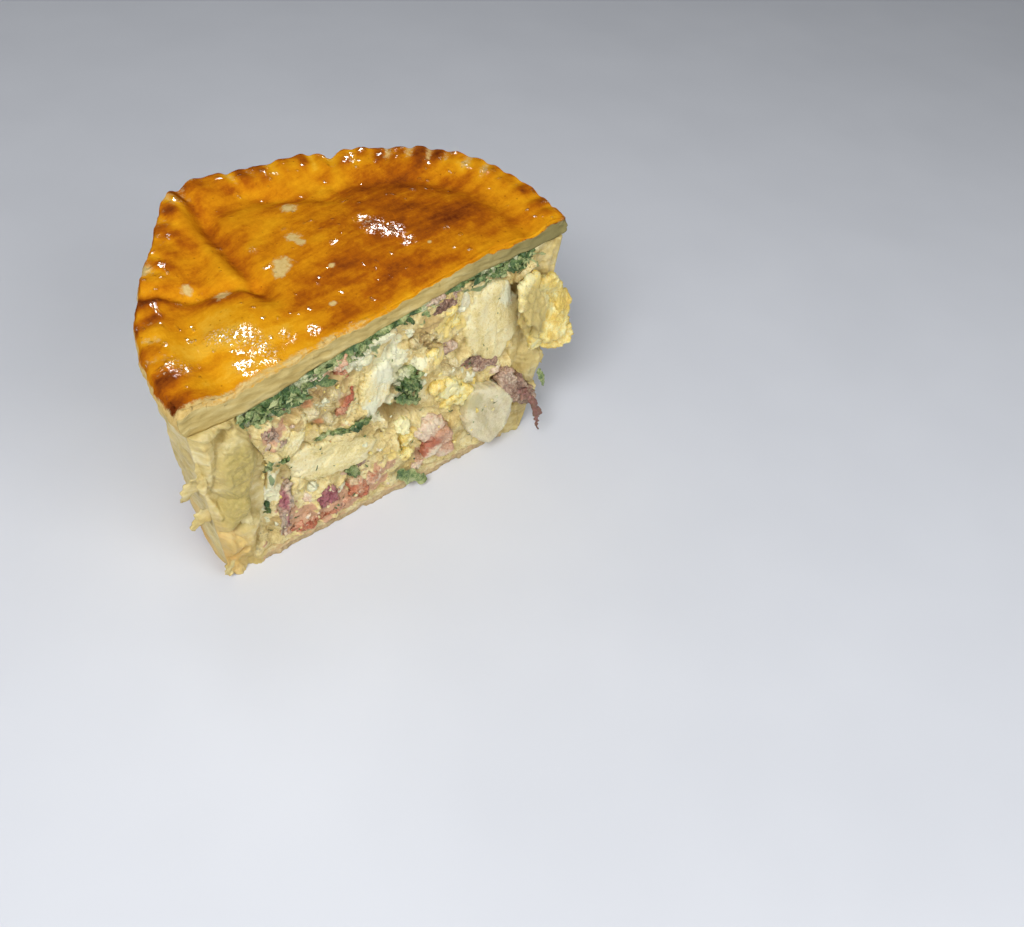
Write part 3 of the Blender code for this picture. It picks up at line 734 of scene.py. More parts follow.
def room_reach(x, z):
    """How far a place on the cut lies inside the room for the filling; negative in the pastry."""
    top = lid_bottom(x, np.zeros_like(x))
    level = np.clip(z / top, 0, 1)
    radius = room_radius(np.where(x > 0, 0.0, np.pi), level)
    half = np.sqrt(radius**2 - CUT_OFFSET**2)
    return np.minimum(half - np.abs(x), z - BASE_THICKNESS)


def case_relief(points):
    """Outward relief of the cut ends: the highest lobe at each place, cut into layers like contour
    lines, and fine grain over it."""
    x, z = points[:, 0], points[:, 2]
    bend_x, bend_z = 2.2 * noise(points, 7, 61, 2), 2.2 * noise(points, 7, 68, 2)
    lobes = [fold(x + bend_x, z + bend_z, *lobe) for lobe in LEFT_FOLDS + RIGHT_FOLDS]
    relief = 1.3 * np.max(lobes, axis=0)
    relief = relief + 0.8 * noise(points * [1, 1, 0.4], 3.2, 62, 2)
    steps = relief / LAYER
    relief = LAYER * (np.floor(steps) + step(steps % 1, 0.45, 1.0))
    return relief + 0.2 * noise(points, 1.1, 63, 2)


ends = np.linspace(0, 0.17, 61)
case_turns = np.concatenate([ends, np.linspace(0.17, 0.83, 101)[1:-1], 1 - ends[::-1]])
case_points, case_faces = half_round(
    wall_radius,
    ground,
    greens_top,
    case_turns,
    (0, 0.06, 0.2, 0.56, 0.84, 1),
    np.linspace(0, 1, 161),
)
x, y, z = case_points.T
front = hill(y, 0, 0.01)
inside = step(room_reach(x, z), 0.1, 1.2)
to_side = wall_radius(turn_of(x, 0 * x), np.clip(z / 66, 0, 1)) - np.abs(x)
rim_fade = step(np.sqrt(np.maximum(to_side, 0)), 0.3, 1.6)
under_egg = step(BASE_THICKNESS + 1.5 - z, 0, 1) * step(46 - np.abs(x), 0, 4)
crumbly = 0.3 * noise(case_points, 2.6, 71, 3) + broken(case_points, 2.2, 72, 0.5) - 0.1
relief = rim_fade * (1 - inside) * (case_relief(case_points) * (1 - under_egg) + crumbly * under_egg)
case_points[:, 1] -= front * relief
case_points[:, 1] += front * inside * FACE_SETBACK
side = (1 - front) * step(z, 0.5, 4) * step(y, 0.2, 3)
puff = 0.9 * noise(case_points * [1, 1, 1.6], 13, 64) + 0.45 * noise(case_points * [1, 1, 2.2], 4, 65, 2)
layered = 0.35 * noise(case_points * [0.3, 0.3, 1], 1.6, 66)
case_points = case_points + outward(case_points, case_faces) * (side * (puff + layered - 0.3))[:, None]
case_points[:, 2] = np.maximum(case_points[:, 2], 0)
foot = 1 - step(z, 1, 11)
corner = front * spot(x, z, (-54, 8), 9, 13)
baked = step(y, 2, 30) * (0.26 + 0.10 * hill(z, 62, 10))
case_brown = 0.22 + 0.40 * corner
case_brown += (1 - front) * (baked + 0.45 * foot + 0.12 * noise(case_points, 16, 67))
case_brown += 0.2 * front * spot(x, z, (-57, 24), 4, 7)
glassy = front * (0.9 * spot(x, z, (-47.5, 44), 7, 11) + 0.8 * spot(x, z, (-50, 27), 6, 9))
print("case:", len(case_points), "points, and", len(LEFT_FOLDS + RIGHT_FOLDS), "folds at its ends")

# %% [markdown]
# Flakes of the outer layers lift off the side of the case. Each is a thin waving strip along a bent
# line, and all of them are joined to the case so that one material covers them.

# %% Flakes of the case


def along_path(path, along):
    """Points of a path, with two directions at each: to its side, and out from its side."""
    centre = path(along)
    forward = np.gradient(centre, axis=0)
    forward /= np.linalg.norm(forward, axis=1)[:, None]
    side = np.cross(forward, [0.0, 1.0, 0.0]) + 1e-6
    side /= np.linalg.norm(side, axis=1)[:, None]
    return centre, side, np.cross(side, forward)


def strip(path, width, thickness, wave, turns, seed, steps=22, across=5):
    """A thin closed strip along a path, its edges waving against each other."""
    along = np.linspace(0, 1, steps)[:, None]
    place = np.linspace(-1, 1, across)[None]
    centre, side, out = along_path(path, along[:, 0])
    ragged = 1 + 0.25 * np.sin(23 * along + seed) * np.sin(9 * along + 2 * seed)
    shape = width * ragged * np.sqrt(np.clip(1 - (2 * along - 1) ** 4, 0, 1)) * (1 - 0.4 * along)
    lift = wave * np.sin(turns * 6.28 * along + 1.9 * place + seed) * (0.3 + np.abs(place))
    sideways = side[:, None] * (place * shape / 2)[..., None]
    middle = centre[:, None] + sideways + out[:, None] * lift[..., None]
    ends = np.sqrt(np.clip(1 - (2 * along - 1) ** 6, 0.02, 1))
    half = out[:, None] * (thickness / 2 * (1 - 0.7 * np.abs(place)) * ends)[..., None]
    front, back = middle + half, middle - half
    sides = [np.stack([front[:, edge], back[:, edge]], axis=1) for edge in (0, -1)]
    tips = [np.stack([front[edge], back[edge]], axis=0) for edge in (0, -1)]
    grids = [front, back, *sides, *tips]
    return weld(list(zip(grids, (False, True, True, False, False, True))))


def bent(start, middle, end):
    """Quadratic curve from start to end, drawn towards its middle point."""
    start, middle, end = (np.array(point, float) for point in (start, middle, end))

    def path(along):
        t = along[:, None]
        return start * (1 - t) ** 2 + middle * 2 * t * (1 - t) + end * t**2

    return path


# Start, middle and end of each flake, and its width
FLAKES = (
    ((-54, 1.5, 29), (-59, 1.6, 27), (-60.4, 2.4, 23.0), 5.6),
    ((-56, 2, 40), (-60, 3, 37), (-60.9, 4.4, 32.4), 5.4),
    ((-51, 1.5, 7), (-54, 0.2, 4.4), (-54.8, 0, 1.4), 4.6),
    ((-51, 0.5, 33), (-49, -2.5, 27), (-47.5, -2.8, 20), 4.6),
    ((-56, 1, 50), (-58, -1.5, 44), (-57.5, -1.4, 38), 3.2),
    ((51, 0.5, 37), (54, -1.8, 33), (56.0, -2.0, 28), 4.2),
    ((52, 0.5, 22), (54.5, -1.6, 18), (55.0, -1.6, 12), 3.8),
)
flakes = [
    strip(bent(*points), width, 0.8, 0.35, 1.1, place, 36, 9)
    for place, (*points, width) in enumerate(FLAKES)
]
flake_points, flake_faces = join(flakes)
flake_grain = 0.25 * noise(flake_points, 1.5, 69, 2)
flake_points = flake_points + outward(flake_points, flake_faces) * flake_grain[:, None]
flake_brown = 0.22 + 0.2 * noise(flake_points, 4, 70)
nothing = 0 * flake_brown
soaked = front * under_egg * (0.5 + 0.5 * (1 - step(z, 1.2, 2.4)))
add_piece(
    "case_pastry",
    join([(case_points, case_faces), (flake_points, flake_faces)]),
    case_paint,
    "pale_pastry",
    ["pastry_case"],
    brown=np.clip(np.concatenate([case_brown, flake_brown]), 0, 1),
    glassy=np.clip(np.concatenate([glassy, nothing]), 0, 1),
    low=np.concatenate([soaked, nothing]),
)

# %% [markdown]
# The filling is a list of pieces, cut through by the knife: egg, onion, ham, bacon and leaves. Each
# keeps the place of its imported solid. A knife and a mixing spoon leave corners, so the outline is a
# polygon inside the piece's oval, worn by small waves.

# %% Pieces of the filling
# Name: x, z, half length, half width, tilt, front, depth, kind
PIECES = {
    "egg_yolk_crumb": (51.4, 51.4, 17.6, 10.4, -62, 6.5, 3, "yolk"),
    "potato_round": (33.8, 18.4, 14.0, 9.0, -62, 4.6, 16, "onion"),
    "ham_piece": (15.6, 17.2, 11.0, 6.2, -58, 2.0, 16, "ham"),
    "bacon_stringy": (46.5, 21.6, 12.5, 3.9, -51, 3.4, 12, "bacon"),
    "egg_wedge": (35.0, 51.4, 15.6, 10.6, -76, 0.8, 22, "egg"),
    "bacon_dark_strip": (31.6, 38.2, 7.4, 2.4, -23, 1.0, 14, "bacon"),
    "egg_crumbly": (21.4, 32.0, 8.6, 5.6, -40, 1.8, 12, "yolk"),
    "onion_small": (19.4, 42.4, 5.4, 2.8, -39, 0.9, 9, "browned_onion"),
    "egg_slab": (-20.4, 28.6, 14.6, 6.6, -17, 1.0, 22, "egg"),
    "onion_browned": (-21.6, 47.8, 8.6, 7.0, -44, 0.4, 14, "browned_onion"),
    "egg_side_strip": (-32.4, 40.2, 5.6, 3.0, 45, 0.5, 12, "egg"),
    "egg_white_piece": (-5.4, 46.4, 8.8, 5.2, 76, 1.0, 18, "egg"),
    "egg_yolk_small": (4.4, 22.6, 8.6, 3.8, -85, 0.2, 10, "yolk"),
    "leaf_clump": (6.0, 43.4, 5.2, 3.0, -63, 0.9, 8, "greens"),
    "onion_tan": (12.2, 54.4, 4.6, 2.9, -50, 0.9, 9, "browned_onion"),
    "curd_with_greens": (-10.8, 58.2, 4.8, 2.6, 5, 0.5, 9, "curd"),
    "onion_grey": (24.4, 62.8, 3.8, 2.2, -76, 0.2, 9, "onion"),
    "bacon_brown_bit": (17.0, 64.4, 4.2, 2.1, 12, 0.2, 8, "bacon"),
    "bacon_upright": (-35.6, 17.6, 10.6, 2.1, 81, 0.9, 12, "bacon"),
    "bacon_purple": (-22.8, 13.4, 4.6, 3.6, -75, 0.9, 12, "bacon"),
    "bacon_red": (-12.0, 10.2, 5.2, 3.1, -68, 0.9, 12, "red_ham"),
    "bacon_along_base": (-25.4, 6.2, 8.6, 1.9, 2, 0.6, 12, "red_ham"),
}
# Pieces paler or darker than their kind, and pieces with smoother outlines
TONES = {
    "egg_yolk_crumb": -0.12, "ham_piece": -0.03, "onion_browned": 0.04, "bacon_dark_strip": 0.04,
    "egg_crumbly": 0.12, "bacon_upright": 0.2, "bacon_brown_bit": -0.15, "bacon_along_base": 0.05,
    "bacon_red": -0.2,
}
ROUGH = {
    "potato_round": 0.3, "egg_wedge": 0.7, "onion_grey": 0.4, "egg_yolk_crumb": 0.55, "ham_piece": 0.6,
}
# Pieces that broke into shards: x, z, half length, half width, tilt, front, depth
SHARDS = {
    "egg_yolk_crumb": (
        (45.4, 58.4, 9.4, 6.2, -74, 6.4, 3), (52.6, 48.6, 8.6, 6.4, -40, 6.7, 3),
        (56.0, 41.4, 6.6, 4.6, -12, 6.2, 3), (49.0, 42.4, 5.0, 3.6, -78, 6.0, 3),
        (57.0, 53.0, 5.8, 3.6, -70, 5.8, 3), (51.2, 61.0, 4.6, 3.4, -30, 5.7, 3),
    ),
    "ham_piece": (
        (13.4, 20.6, 5.6, 4.6, -40, 2.2, 9), (17.4, 15.2, 5.4, 4.0, -75, 2.6, 9),
        (18.6, 10.2, 3.6, 2.8, -20, 2.1, 9), (13.4, 13.4, 4.2, 2.6, 70, 2.3, 9),
    ),
    "egg_crumbly": (
        (19.4, 34.2, 4.6, 3.4, -60, 2.0, 9), (24.0, 30.4, 4.2, 3.2, -10, 2.2, 9),
        (20.6, 28.4, 3.8, 2.6, 30, 1.7, 9), (25.4, 26.6, 2.6, 2.0, -60, 1.6, 9),
    ),
    "egg_yolk_small": (
        (4.0, 26.6, 3.4, 2.6, -60, 0.8, 6), (5.0, 20.8, 3.4, 2.4, 80, 0.9, 6),
        (4.6, 15.8, 2.6, 2.0, 10, 0.8, 6),
    ),
}


def outline(half_long, half_wide, seed, around, rough=1.0):
    """Distance to a piece's edge by direction: the nearest of a polygon's sides and the oval, joined
    by a soft minimum, and three waves on it."""
    rng = np.random.default_rng(seed)
    count = int(rng.integers(5, 8))
    turned = np.linspace(0, 2 * np.pi, count, endpoint=False) + rng.uniform(-0.35, 0.35, count)
    distances = rng.uniform(0.88, 1.02, count)
    u, v = np.cos(around) / half_long, np.sin(around) / half_wide
    scale, bearing = np.hypot(u, v), np.arctan2(v, u)
    reach = 1.06**-8 + 0 * bearing
    for side_turn, distance in zip(turned, distances):
        reach = reach + (np.maximum(np.cos(bearing - side_turn), 0.05) / distance) ** 8
    phase = rng.uniform(0, 6.28, 3)
    waves = 0.06 * np.sin(7 * around + phase[0]) + 0.045 * np.sin(13 * around + phase[1])
    waves = waves + 0.035 * np.sin(29 * around + phase[2])
    return reach ** (-1 / 8) / scale * (1.03 + rough * waves)


def seed_of(name):
    """A seed of its own for every piece, from the letters of its name."""
    return sum(map(ord, name))


def inside_piece(name, x, z):
    """How many millimetres a place on the cut lies inside a piece's outline."""
    *centre, half_long, half_wide, tilt = PIECES[name][:5]
    u, v = axes_at(x, z, centre, tilt)
    rough = ROUGH.get(name, 1.0)
    return outline(half_long, half_wide, seed_of(name), np.arctan2(v, u), rough) - np.hypot(u, v)


def lump(piece, seed, around_steps=120, face_steps=28, side_steps=12, sharp=10, rough=1, lean=0):
    """Rings from the middle of the front, out to the edge, back and in to a point. The front is a
    plane that leans by up to the given share, each piece its own way."""
    centre_x, centre_z, half_long, half_wide, tilt, front, depth = piece[:7]
    around = np.linspace(0, 2 * np.pi, around_steps + 1)[:, None]
    face = np.linspace(0, 1, face_steps)
    back = np.linspace(0, 1, side_steps)[1:]
    reach = np.concatenate([face, 1 - 0.35 * back**3, [0.3, 0]])
    sink = np.concatenate([0.8 * face**sharp, 0.8 + (depth - 0.8) * back, [depth + 0.6, depth + 0.8]])
    edge = outline(half_long, half_wide, seed, around, rough)
    u, v = edge * reach * np.cos(around), edge * reach * np.sin(around)
    c, s = np.cos(np.radians(tilt)), np.sin(np.radians(tilt))
    lean_along, lean_across = np.random.default_rng(seed + 7).uniform(-lean, lean, 2)
    y = -front + sink + lean_along * u + lean_across * v
    return weld([(np.stack([centre_x + u * c - v * s, y, centre_z + u * s + v * c], axis=-1), False)])


print(len(PIECES), "pieces of filling")

# %% [markdown]
# Each kind of food breaks in its own way. Egg is cut flat or tears into small curds, onion is smooth
# with arched layers, and bacon pulls into strings along its length. The slow colour changes are a
# field on the mesh, drawn out along the piece; the shader adds the fine grain and chopped herbs.

# %% Paint for the filling
# Green of chopped herbs, and the painted shade of pores.
HERB, PORE_SHADE = (0.075, 0.15, 0.045), (0.30, 0.20, 0.08)
STOPS = (0.20, 0.42, 0.60, 0.82)


def food_paint(name, colours, marked, flecks=0.7, roughness=0.5, coat=0.12, soft=0.15, depth=0.3):
    """Four colours along the tone field, one for marked places, and flecks of herb."""
    paint = Paint(name)
    fine = paint.noise(1.0, 4, 0.65)
    grain = paint.noise(0.5, 3, 0.6)
    tone = paint.field("tone") + (fine - 0.5) * 0.7 + (grain - 0.5) * 0.6
    tone = tone + (paint.noise(4.5, 3) - 0.5) * 0.5
    colour = paint.ramp(tone, list(zip(STOPS, colours)))
    mark = (paint.field("mark") + (fine - 0.5) * 1.2).between(0.25, 0.85)
    colour = paint.mix(colour, marked, mark)
    chopped = (1 - paint.grains(2.4).between(0.05, 0.13)) * paint.noise(5, 2).between(0.49, 0.6)
    colour = paint.mix(colour, HERB, chopped * flecks)
    # Pores are pressed in by the bump and darkened by a painted shade.
    pores = (1 - paint.grains(1.2).between(0.08, 0.22)) * fine.between(0.42, 0.5)
    colour = paint.mix(colour, PORE_SHADE, pores * 0.35)
    bump = fine * 0.8 + grain * 0.7 - pores * 0.6
    return paint.finish(
        colour,
        roughness,
        bump,
        depth,
        coat,
        coat_roughness=0.22,
        subsurface_weight=soft,
        specular_ior_level=0.4,
    )


Food = namedtuple("Food", "material slot relief drawn edge")


def food(name, slot, relief, drawn, edge, colours, marked, **finish):
    """A kind of food: its paint and slot, its relief (slow swell, its size, lumps, their size), how
    much the relief is drawn out along a piece, and how firm a piece's edge is."""
    return Food(food_paint(name, colours, marked, **finish), slot, relief, drawn, edge)


KINDS = {
    "egg": food(
        "cooked_egg", "egg", (0.4, 8.0, 0.3, 6.0), 0.3, 14,
        ((0.64, 0.50, 0.19), (0.75, 0.62, 0.27), (0.82, 0.70, 0.35), (0.85, 0.77, 0.46)),
        (0.80, 0.78, 0.55), flecks=0.25,
    ),
    "yolk": food(
        "cooked_yolk", "yolk", (0.5, 4.0, 0.55, 2.8), 0.8, 9,
        ((0.72, 0.49, 0.10), (0.84, 0.62, 0.17), (0.89, 0.74, 0.29), (0.90, 0.82, 0.45)),
        # The yolk's marked colour, grey tan, is painted shade.
        (0.55, 0.43, 0.15), flecks=0.15, soft=0.2,
    ),
    "curd": food(
        "white_curd", "custard", (0.5, 3.0, 0.8, 2.4), 0.8, 4,
        ((0.62, 0.60, 0.37), (0.75, 0.73, 0.48), (0.84, 0.80, 0.55), (0.87, 0.84, 0.60)),
        (0.40, 0.50, 0.32), flecks=0.5,
    ),
    "onion": food(
        "soft_onion", "onion", (0.5, 8.0, 0.0, 2.0), 0.5, 7,
        ((0.56, 0.48, 0.26), (0.66, 0.58, 0.35), (0.72, 0.65, 0.42), (0.78, 0.71, 0.49)),
        (0.52, 0.46, 0.24), flecks=0.1, roughness=0.3, coat=0.3, soft=0.4, depth=0.12,
    ),
    "browned_onion": food(
        "browned_onion", "browned_onion", (0.8, 4.0, 1.3, 3.2), 0.5, 5,
        ((0.34, 0.21, 0.07), (0.50, 0.37, 0.14), (0.62, 0.50, 0.23), (0.74, 0.64, 0.38)),
        (0.48, 0.22, 0.08), flecks=0.25, roughness=0.35, coat=0.25, soft=0.2,
    ),
    "ham": food(
        "pink_ham", "ham", (0.4, 5.0, 0.5, 1.8), 0.45, 9,
        ((0.55, 0.30, 0.18), (0.68, 0.46, 0.31), (0.75, 0.57, 0.40), (0.79, 0.66, 0.47)),
        (0.46, 0.15, 0.08), flecks=0.1, roughness=0.4, coat=0.2,
    ),
    "red_ham": food(
        "red_ham", "ham", (0.6, 3.0, 0.8, 1.4), 0.5, 5,
        ((0.38, 0.09, 0.04), (0.51, 0.17, 0.08), (0.62, 0.29, 0.16), (0.72, 0.48, 0.31)),
        (0.70, 0.52, 0.30), flecks=0.0, roughness=0.4, coat=0.2,
    ),
    "bacon": food(
        "cured_bacon", "bacon", (0.6, 2.6, 1.0, 1.5), 0.4, 5,
        ((0.22, 0.12, 0.08), (0.41, 0.26, 0.18), (0.57, 0.42, 0.30), (0.71, 0.57, 0.41)),
        (0.37, 0.12, 0.135), flecks=0.1, roughness=0.42, coat=0.2,
    ),
    "greens": food(
        "cooked_leaves", "cooked_greens", (0.8, 1.7, 0.9, 2.0), 0.6, 4,
        ((0.03, 0.075, 0.02), (0.09, 0.16, 0.045), (0.21, 0.28, 0.09), (0.42, 0.46, 0.20)),
        (0.62, 0.62, 0.38), flecks=0.0, roughness=0.4, coat=0.2, soft=0.05, depth=0.3,
    ),
}
# Marked places on a piece: x, z, width, tall. What a mark means is the kind's own colour for it.
MARKS = {
    # The yolk crumb's marks are painted shade over its upper left.
    "egg_yolk_crumb": ((44.5, 58.0, 6.5, 8.0), (46.0, 49.0, 3.5, 5.0)),
    "ham_piece": ((13.6, 16.4, 3.4, 2.8), (10.4, 12.0, 2.0, 3.0)),
    "potato_round": ((27.0, 27.0, 5.0, 4.0),),
    "egg_white_piece": ((-3.0, 52.0, 5.0, 8.0), (-8.0, 40.0, 4.0, 4.0)),
    "egg_wedge": ((39.0, 60.0, 4.0, 5.0),),
    "onion_browned": ((-15.6, 46.0, 2.0, 4.0), (-27.0, 52.0, 2.4, 1.6), (-24.0, 44.0, 1.6, 2.4)),
    "bacon_upright": ((-34.5, 12.0, 2.0, 4.0), (-36.0, 21.5, 1.6, 4.0)),
    "bacon_purple": ((-22.6, 13.6, 5.4, 5.4),),
    "bacon_red": ((-13.5, 14.5, 2.0, 1.6),),
    "leaf_clump": ((8.0, 40.4, 3.0, 3.0), (3.4, 47.0, 2.4, 2.4)),
}


def dress(body, piece, name, kind):
    """Moves each point out by a slow swell and broken lumps, and gives its tone and marks."""
    points, triangles = body
    swell, swell_size, lumps, lump_size = KINDS[kind].relief
    x, y, z = points.T
    along, across = axes_at(x, z, (0, 0), piece[4])
    turned = np.stack([along * KINDS[kind].drawn, y, across], axis=1)
    seed = seed_of(name) % 97
    amount = swell * noise(turned, swell_size, seed, 2) + broken(points, lump_size, seed + 1, lumps)
    amount += 0.16 * noise(turned, 1.1, seed + 2, 2)
    tone = 0.52 + 0.30 * noise(turned, 2.4, seed + 3, 2) + 0.08 * np.sin(seed)
    mark = sum((spot(x, z, place[:2], *place[2:]) for place in MARKS.get(name, ())), 0 * x)
    return (points + outward(points, triangles) * amount[:, None], triangles), tone, mark


def gather(parts):
    """Several dressed bodies as one body, one list of tones and one of marks."""
    bodies, tones, marks = zip(*parts)
    return join(bodies), np.concatenate(tones), np.concatenate(marks)


def add_food(name, body, kind, tone, mark=0.0, replaces=()):
    """A piece made of one kind of food."""
    add_piece(name, body, KINDS[kind].material, KINDS[kind].slot, replaces, tone=tone, mark=mark)


def shards_of(name, kind):
    """The shards of a broken piece, every one a little paler or darker than the last."""
    parts = []
    for place, shard in enumerate(SHARDS[name]):
        body = lump(shard, seed_of(name) + place + 1, 80, 20, 6, sharp=12, rough=0.9, lean=0.3)
        body, tone, mark = dress(body, shard, name, kind)
        parts.append((body, tone + 0.22 * np.sin(2.4 * place + 1), mark))
    return parts


def whole_piece(name):
    """A piece's body, tone and marks. One that broke has a smaller core, sunk behind its shards."""
    *place, half_long, half_wide, tilt, front, depth, kind = PIECES[name]
    core = (*place, half_long, half_wide, tilt, front, depth)
    if name in SHARDS:
        core = (*place, 0.92 * half_long, 0.88 * half_wide, tilt, front - 1.5, depth)
    body = lump(core, seed_of(name), sharp=KINDS[kind].edge, rough=ROUGH.get(name, 1.0))
    parts = [dress(body, PIECES[name], name, kind)]
    if name in SHARDS:
        parts += shards_of(name, kind)
    body, tone, mark = gather(parts)
    return body, tone + TONES.get(name, 0), mark


for name, piece in PIECES.items():
    if name != "bacon_stringy":
        body, tone, mark = whole_piece(name)
        add_food(name + "_fine", body, piece[-1], tone, mark, [name])

# %% [markdown]
# Between the large pieces lies set egg with herbs. Its cut face is a grid that tears into curds of
# three sizes. Each kind of bit tints the zones that it fell in, with ragged borders, so that the
# face becomes the mosaic of curd, onion, ham and leaf that the knife shows.

# %% Set egg
# Kind of curd, colour, and its zones: x, z, width, tall, turn, amount
ZONES = {
    "white": (
        (0.83, 0.81, 0.54),
        (
            (-10, 62, 9, 3, 20, 1.0), (0, 52, 5, 12, 10, 1.0), (-6, 38, 5, 6, -20, 0.9),
            (-40, 29, 4.5, 9, 0, 0.8), (-24, 35, 7, 2, 10, 0.5), (28, 33, 4, 3, 0, 0.8),
            (8, 49, 3, 5, 30, 0.6), (2, 28, 4, 4, 0, 0.5), (-41, 18, 2, 8, 0, 0.35),
        ),
    ),
    "yellow": (
        (0.82, 0.63, 0.20),
        (
            (21, 57, 7, 5, 0, 0.9), (16, 34, 7, 4, -30, 0.8), (4, 18, 6, 6, 0, 0.8),
            (-28, 42, 5, 6, 30, 0.7), (20, 27, 5, 3, 0, 0.8), (15, 48, 4, 3, 0, 0.6),
            (-4, 26, 3, 3, 0, 0.5), (41, 40, 4, 6, 0, 0.5),
        ),
    ),
    "tan": (
        (0.50, 0.34, 0.12),
        (
            (-22, 54, 10, 4, -10, 1.0), (-32, 51, 6, 4, 0, 0.8), (-18, 46, 5, 7, -20, 0.7),
            (-29, 46, 4, 3, 0, 0.6), (12, 60, 5, 3, 0, 0.7), (20, 40, 5, 2, -30, 0.5),
            # The tan zone at x 0, z 33 is painted shade in the notch under the white piece.
            (0, 33, 6, 2, -28, 0.7), (-37, 12, 5, 7, 0, 0.6), (30, 8, 4, 3, 0, 0.4),
            (8, 44, 3, 3, 0, 0.4),
        ),
    ),
    "pink": (
        (0.60, 0.32, 0.20),
        (
            (-24, 8.5, 17, 5.0, 0, 1.0), (-6, 10, 8, 4, 30, 0.8), (-33, 14, 5, 6, 0, 0.6),
            (-38, 46, 5, 7, 0, 0.9), (10, 10, 6, 4, 0, 0.8), (14, 25, 5, 3, -30, 0.6),
            (-15, 47, 2, 4, -40, 0.6), (38, 31, 4, 3, 0, 0.6), (-20, 58, 5, 2, 0, 0.6),
        ),
    ),
    "plum": (
        (0.30, 0.13, 0.10),
        (
            (-23, 13, 4, 3, 0, 0.8), (-38, 47, 3, 3, 0, 0.7), (-35, 22, 1.6, 5, -10, 0.6),
            (-17, 7, 5, 2, 0, 0.6), (17, 66, 6, 1.6, 0, 0.8), (27, 39, 4, 1.5, -20, 0.6),
            (-9, 19, 4, 1.4, 0, 0.6), (40, 25, 3, 2, 0, 0.4),
        ),
    ),
    "green": (
        (0.13, 0.22, 0.08),
        (
            (5, 41, 5, 2.5, -60, 0.8), (-15, 37, 8, 1.4, -12, 0.8), (-9, 60, 5, 3, 20, 0.5),
            (-13, 19, 4, 1.4, 0, 0.6), (-1, 65, 6, 1.4, 0, 0.8), (28, 66, 8, 1.2, 0, 0.8),
            (-39, 27, 1.5, 6, 0, 0.4), (1, 36, 5, 1.4, -30, 0.7),
        ),
    ),
}
POCKET_DEPTH = 2.4
# Places where a lump fell out or the knife dragged: x, z, width, tall, turn, depth
HOLLOWS = (
    (3.4, 32.8, 8.0, 2.4, -28, 5.0), (2.0, 40.0, 3.0, 4.0, 0, 1.4), (-35.0, 30.0, 2.0, 5.0, 20, 1.2),
    (-12.0, 21.5, 7.0, 1.2, -10, 1.8), (-27.5, 36.0, 1.2, 5.0, 30, 1.5),
    (23.0, 47.5, 2.0, 5.0, 20, 1.8), (26.5, 27.0, 3.0, 2.0, 30, 2.0), (41.0, 36.5, 4.0, 1.6, -25, 2.2),
    (8.0, 12.0, 2.0, 5.0, 0, 1.6), (-14.0, 53.5, 3.5, 1.3, 35, 1.4), (-29.0, 12.0, 1.6, 4.0, 10, 1.3),
    (-41.0, 12.0, 2.0, 6.0, 5, 1.0),
)


def on_plane(x, z):
    """Places on the plane of the cut, as points."""
    return np.stack([x, np.zeros_like(x), z], axis=-1)


def egg_relief(x, z):
    """How far the torn face stands out: swell, broken curds of three sizes, hollows, and a pocket
    under every large piece."""
    flat = on_plane(x, z)
    relief = 0.6 * noise(flat, 11, 83) + 0.35 * noise(flat, 4, 84, 2) + 0.10 * noise(flat, 0.9, 86, 2)
    for size, seed, height in ((7.5, 81, 1.6), (3.4, 82, 0.6), (1.5, 85, 0.17)):
        relief = relief + broken(flat, size, seed, height)
    for *centre, wide, tall, turn, depth in HOLLOWS:
        relief = relief - depth * spot(x, z, centre, wide, tall, turn)
    for name in PIECES:
        relief = relief - POCKET_DEPTH * step(inside_piece(name, x, z), 0.4, 1.7)
    return relief


def egg_patches(x, z):
    """For every kind, a mask that is one where the sum of its zones and a ragged noise is high."""
    flat = on_plane(x, z)
    shown = {}
    for place, (kind, (_, zones)) in enumerate(ZONES.items()):
        level = sum(
            amount * spot(x, z, centre, wide, tall, turn) for *centre, wide, tall, turn, amount in zones
        )
        shown[kind] = step(level + 0.42 * noise(flat, 2.6, 110 + place, 3), 0.42, 0.66)
    return shown


def custard_paint():
    """Set egg: cloudy yellow, tinted in the zones of each kind, with painted shade in hollows and pores,
    and herbs.
    """
    paint = Paint("set_egg")
    cloud, fine, grain = paint.noise(6.5, 4, 0.6), paint.noise(1.1, 4, 0.65), paint.noise(0.5, 3, 0.6)
    tone = cloud * 0.6 + fine * 0.4 + (grain - 0.5) * 0.3
    colour = paint.ramp(
        tone,
        [(0.38, (0.57, 0.42, 0.15)), (0.5, (0.75, 0.60, 0.26)), (0.64, (0.83, 0.73, 0.41))],
    )
    for kind, (tint, _) in ZONES.items():
        shown = (paint.field(kind) + (fine - 0.5) * 0.9).between(0.3, 0.85)
        colour = paint.mix(colour, tint, shown * 0.85)
    # Painted shade: where the torn face sinks back, its colour is darkened to brown.
    colour = paint.mix(colour, (0.32, 0.21, 0.06), paint.field("hollow") * 0.7)
    chopped = (1 - paint.grains(2.2).between(0.05, 0.13)) * paint.noise(5, 2).between(0.47, 0.58)
    colour = paint.mix(colour, HERB, chopped * 0.7)
    # Pores are pressed in by the bump and darkened by a painted shade.
    pores = (1 - paint.grains(1.2).between(0.08, 0.26)) * fine.between(0.42, 0.5)
    colour = paint.mix(colour, PORE_SHADE, pores * 0.5)
    bump = fine * 0.9 + grain * 0.8 - pores * 0.6
    return paint.finish(
        colour,
        0.48,
        bump,
        depth=0.35,
        coat=0.14,
        coat_roughness=0.25,
        subsurface_weight=0.15,
        specular_ior_level=0.4,
    )


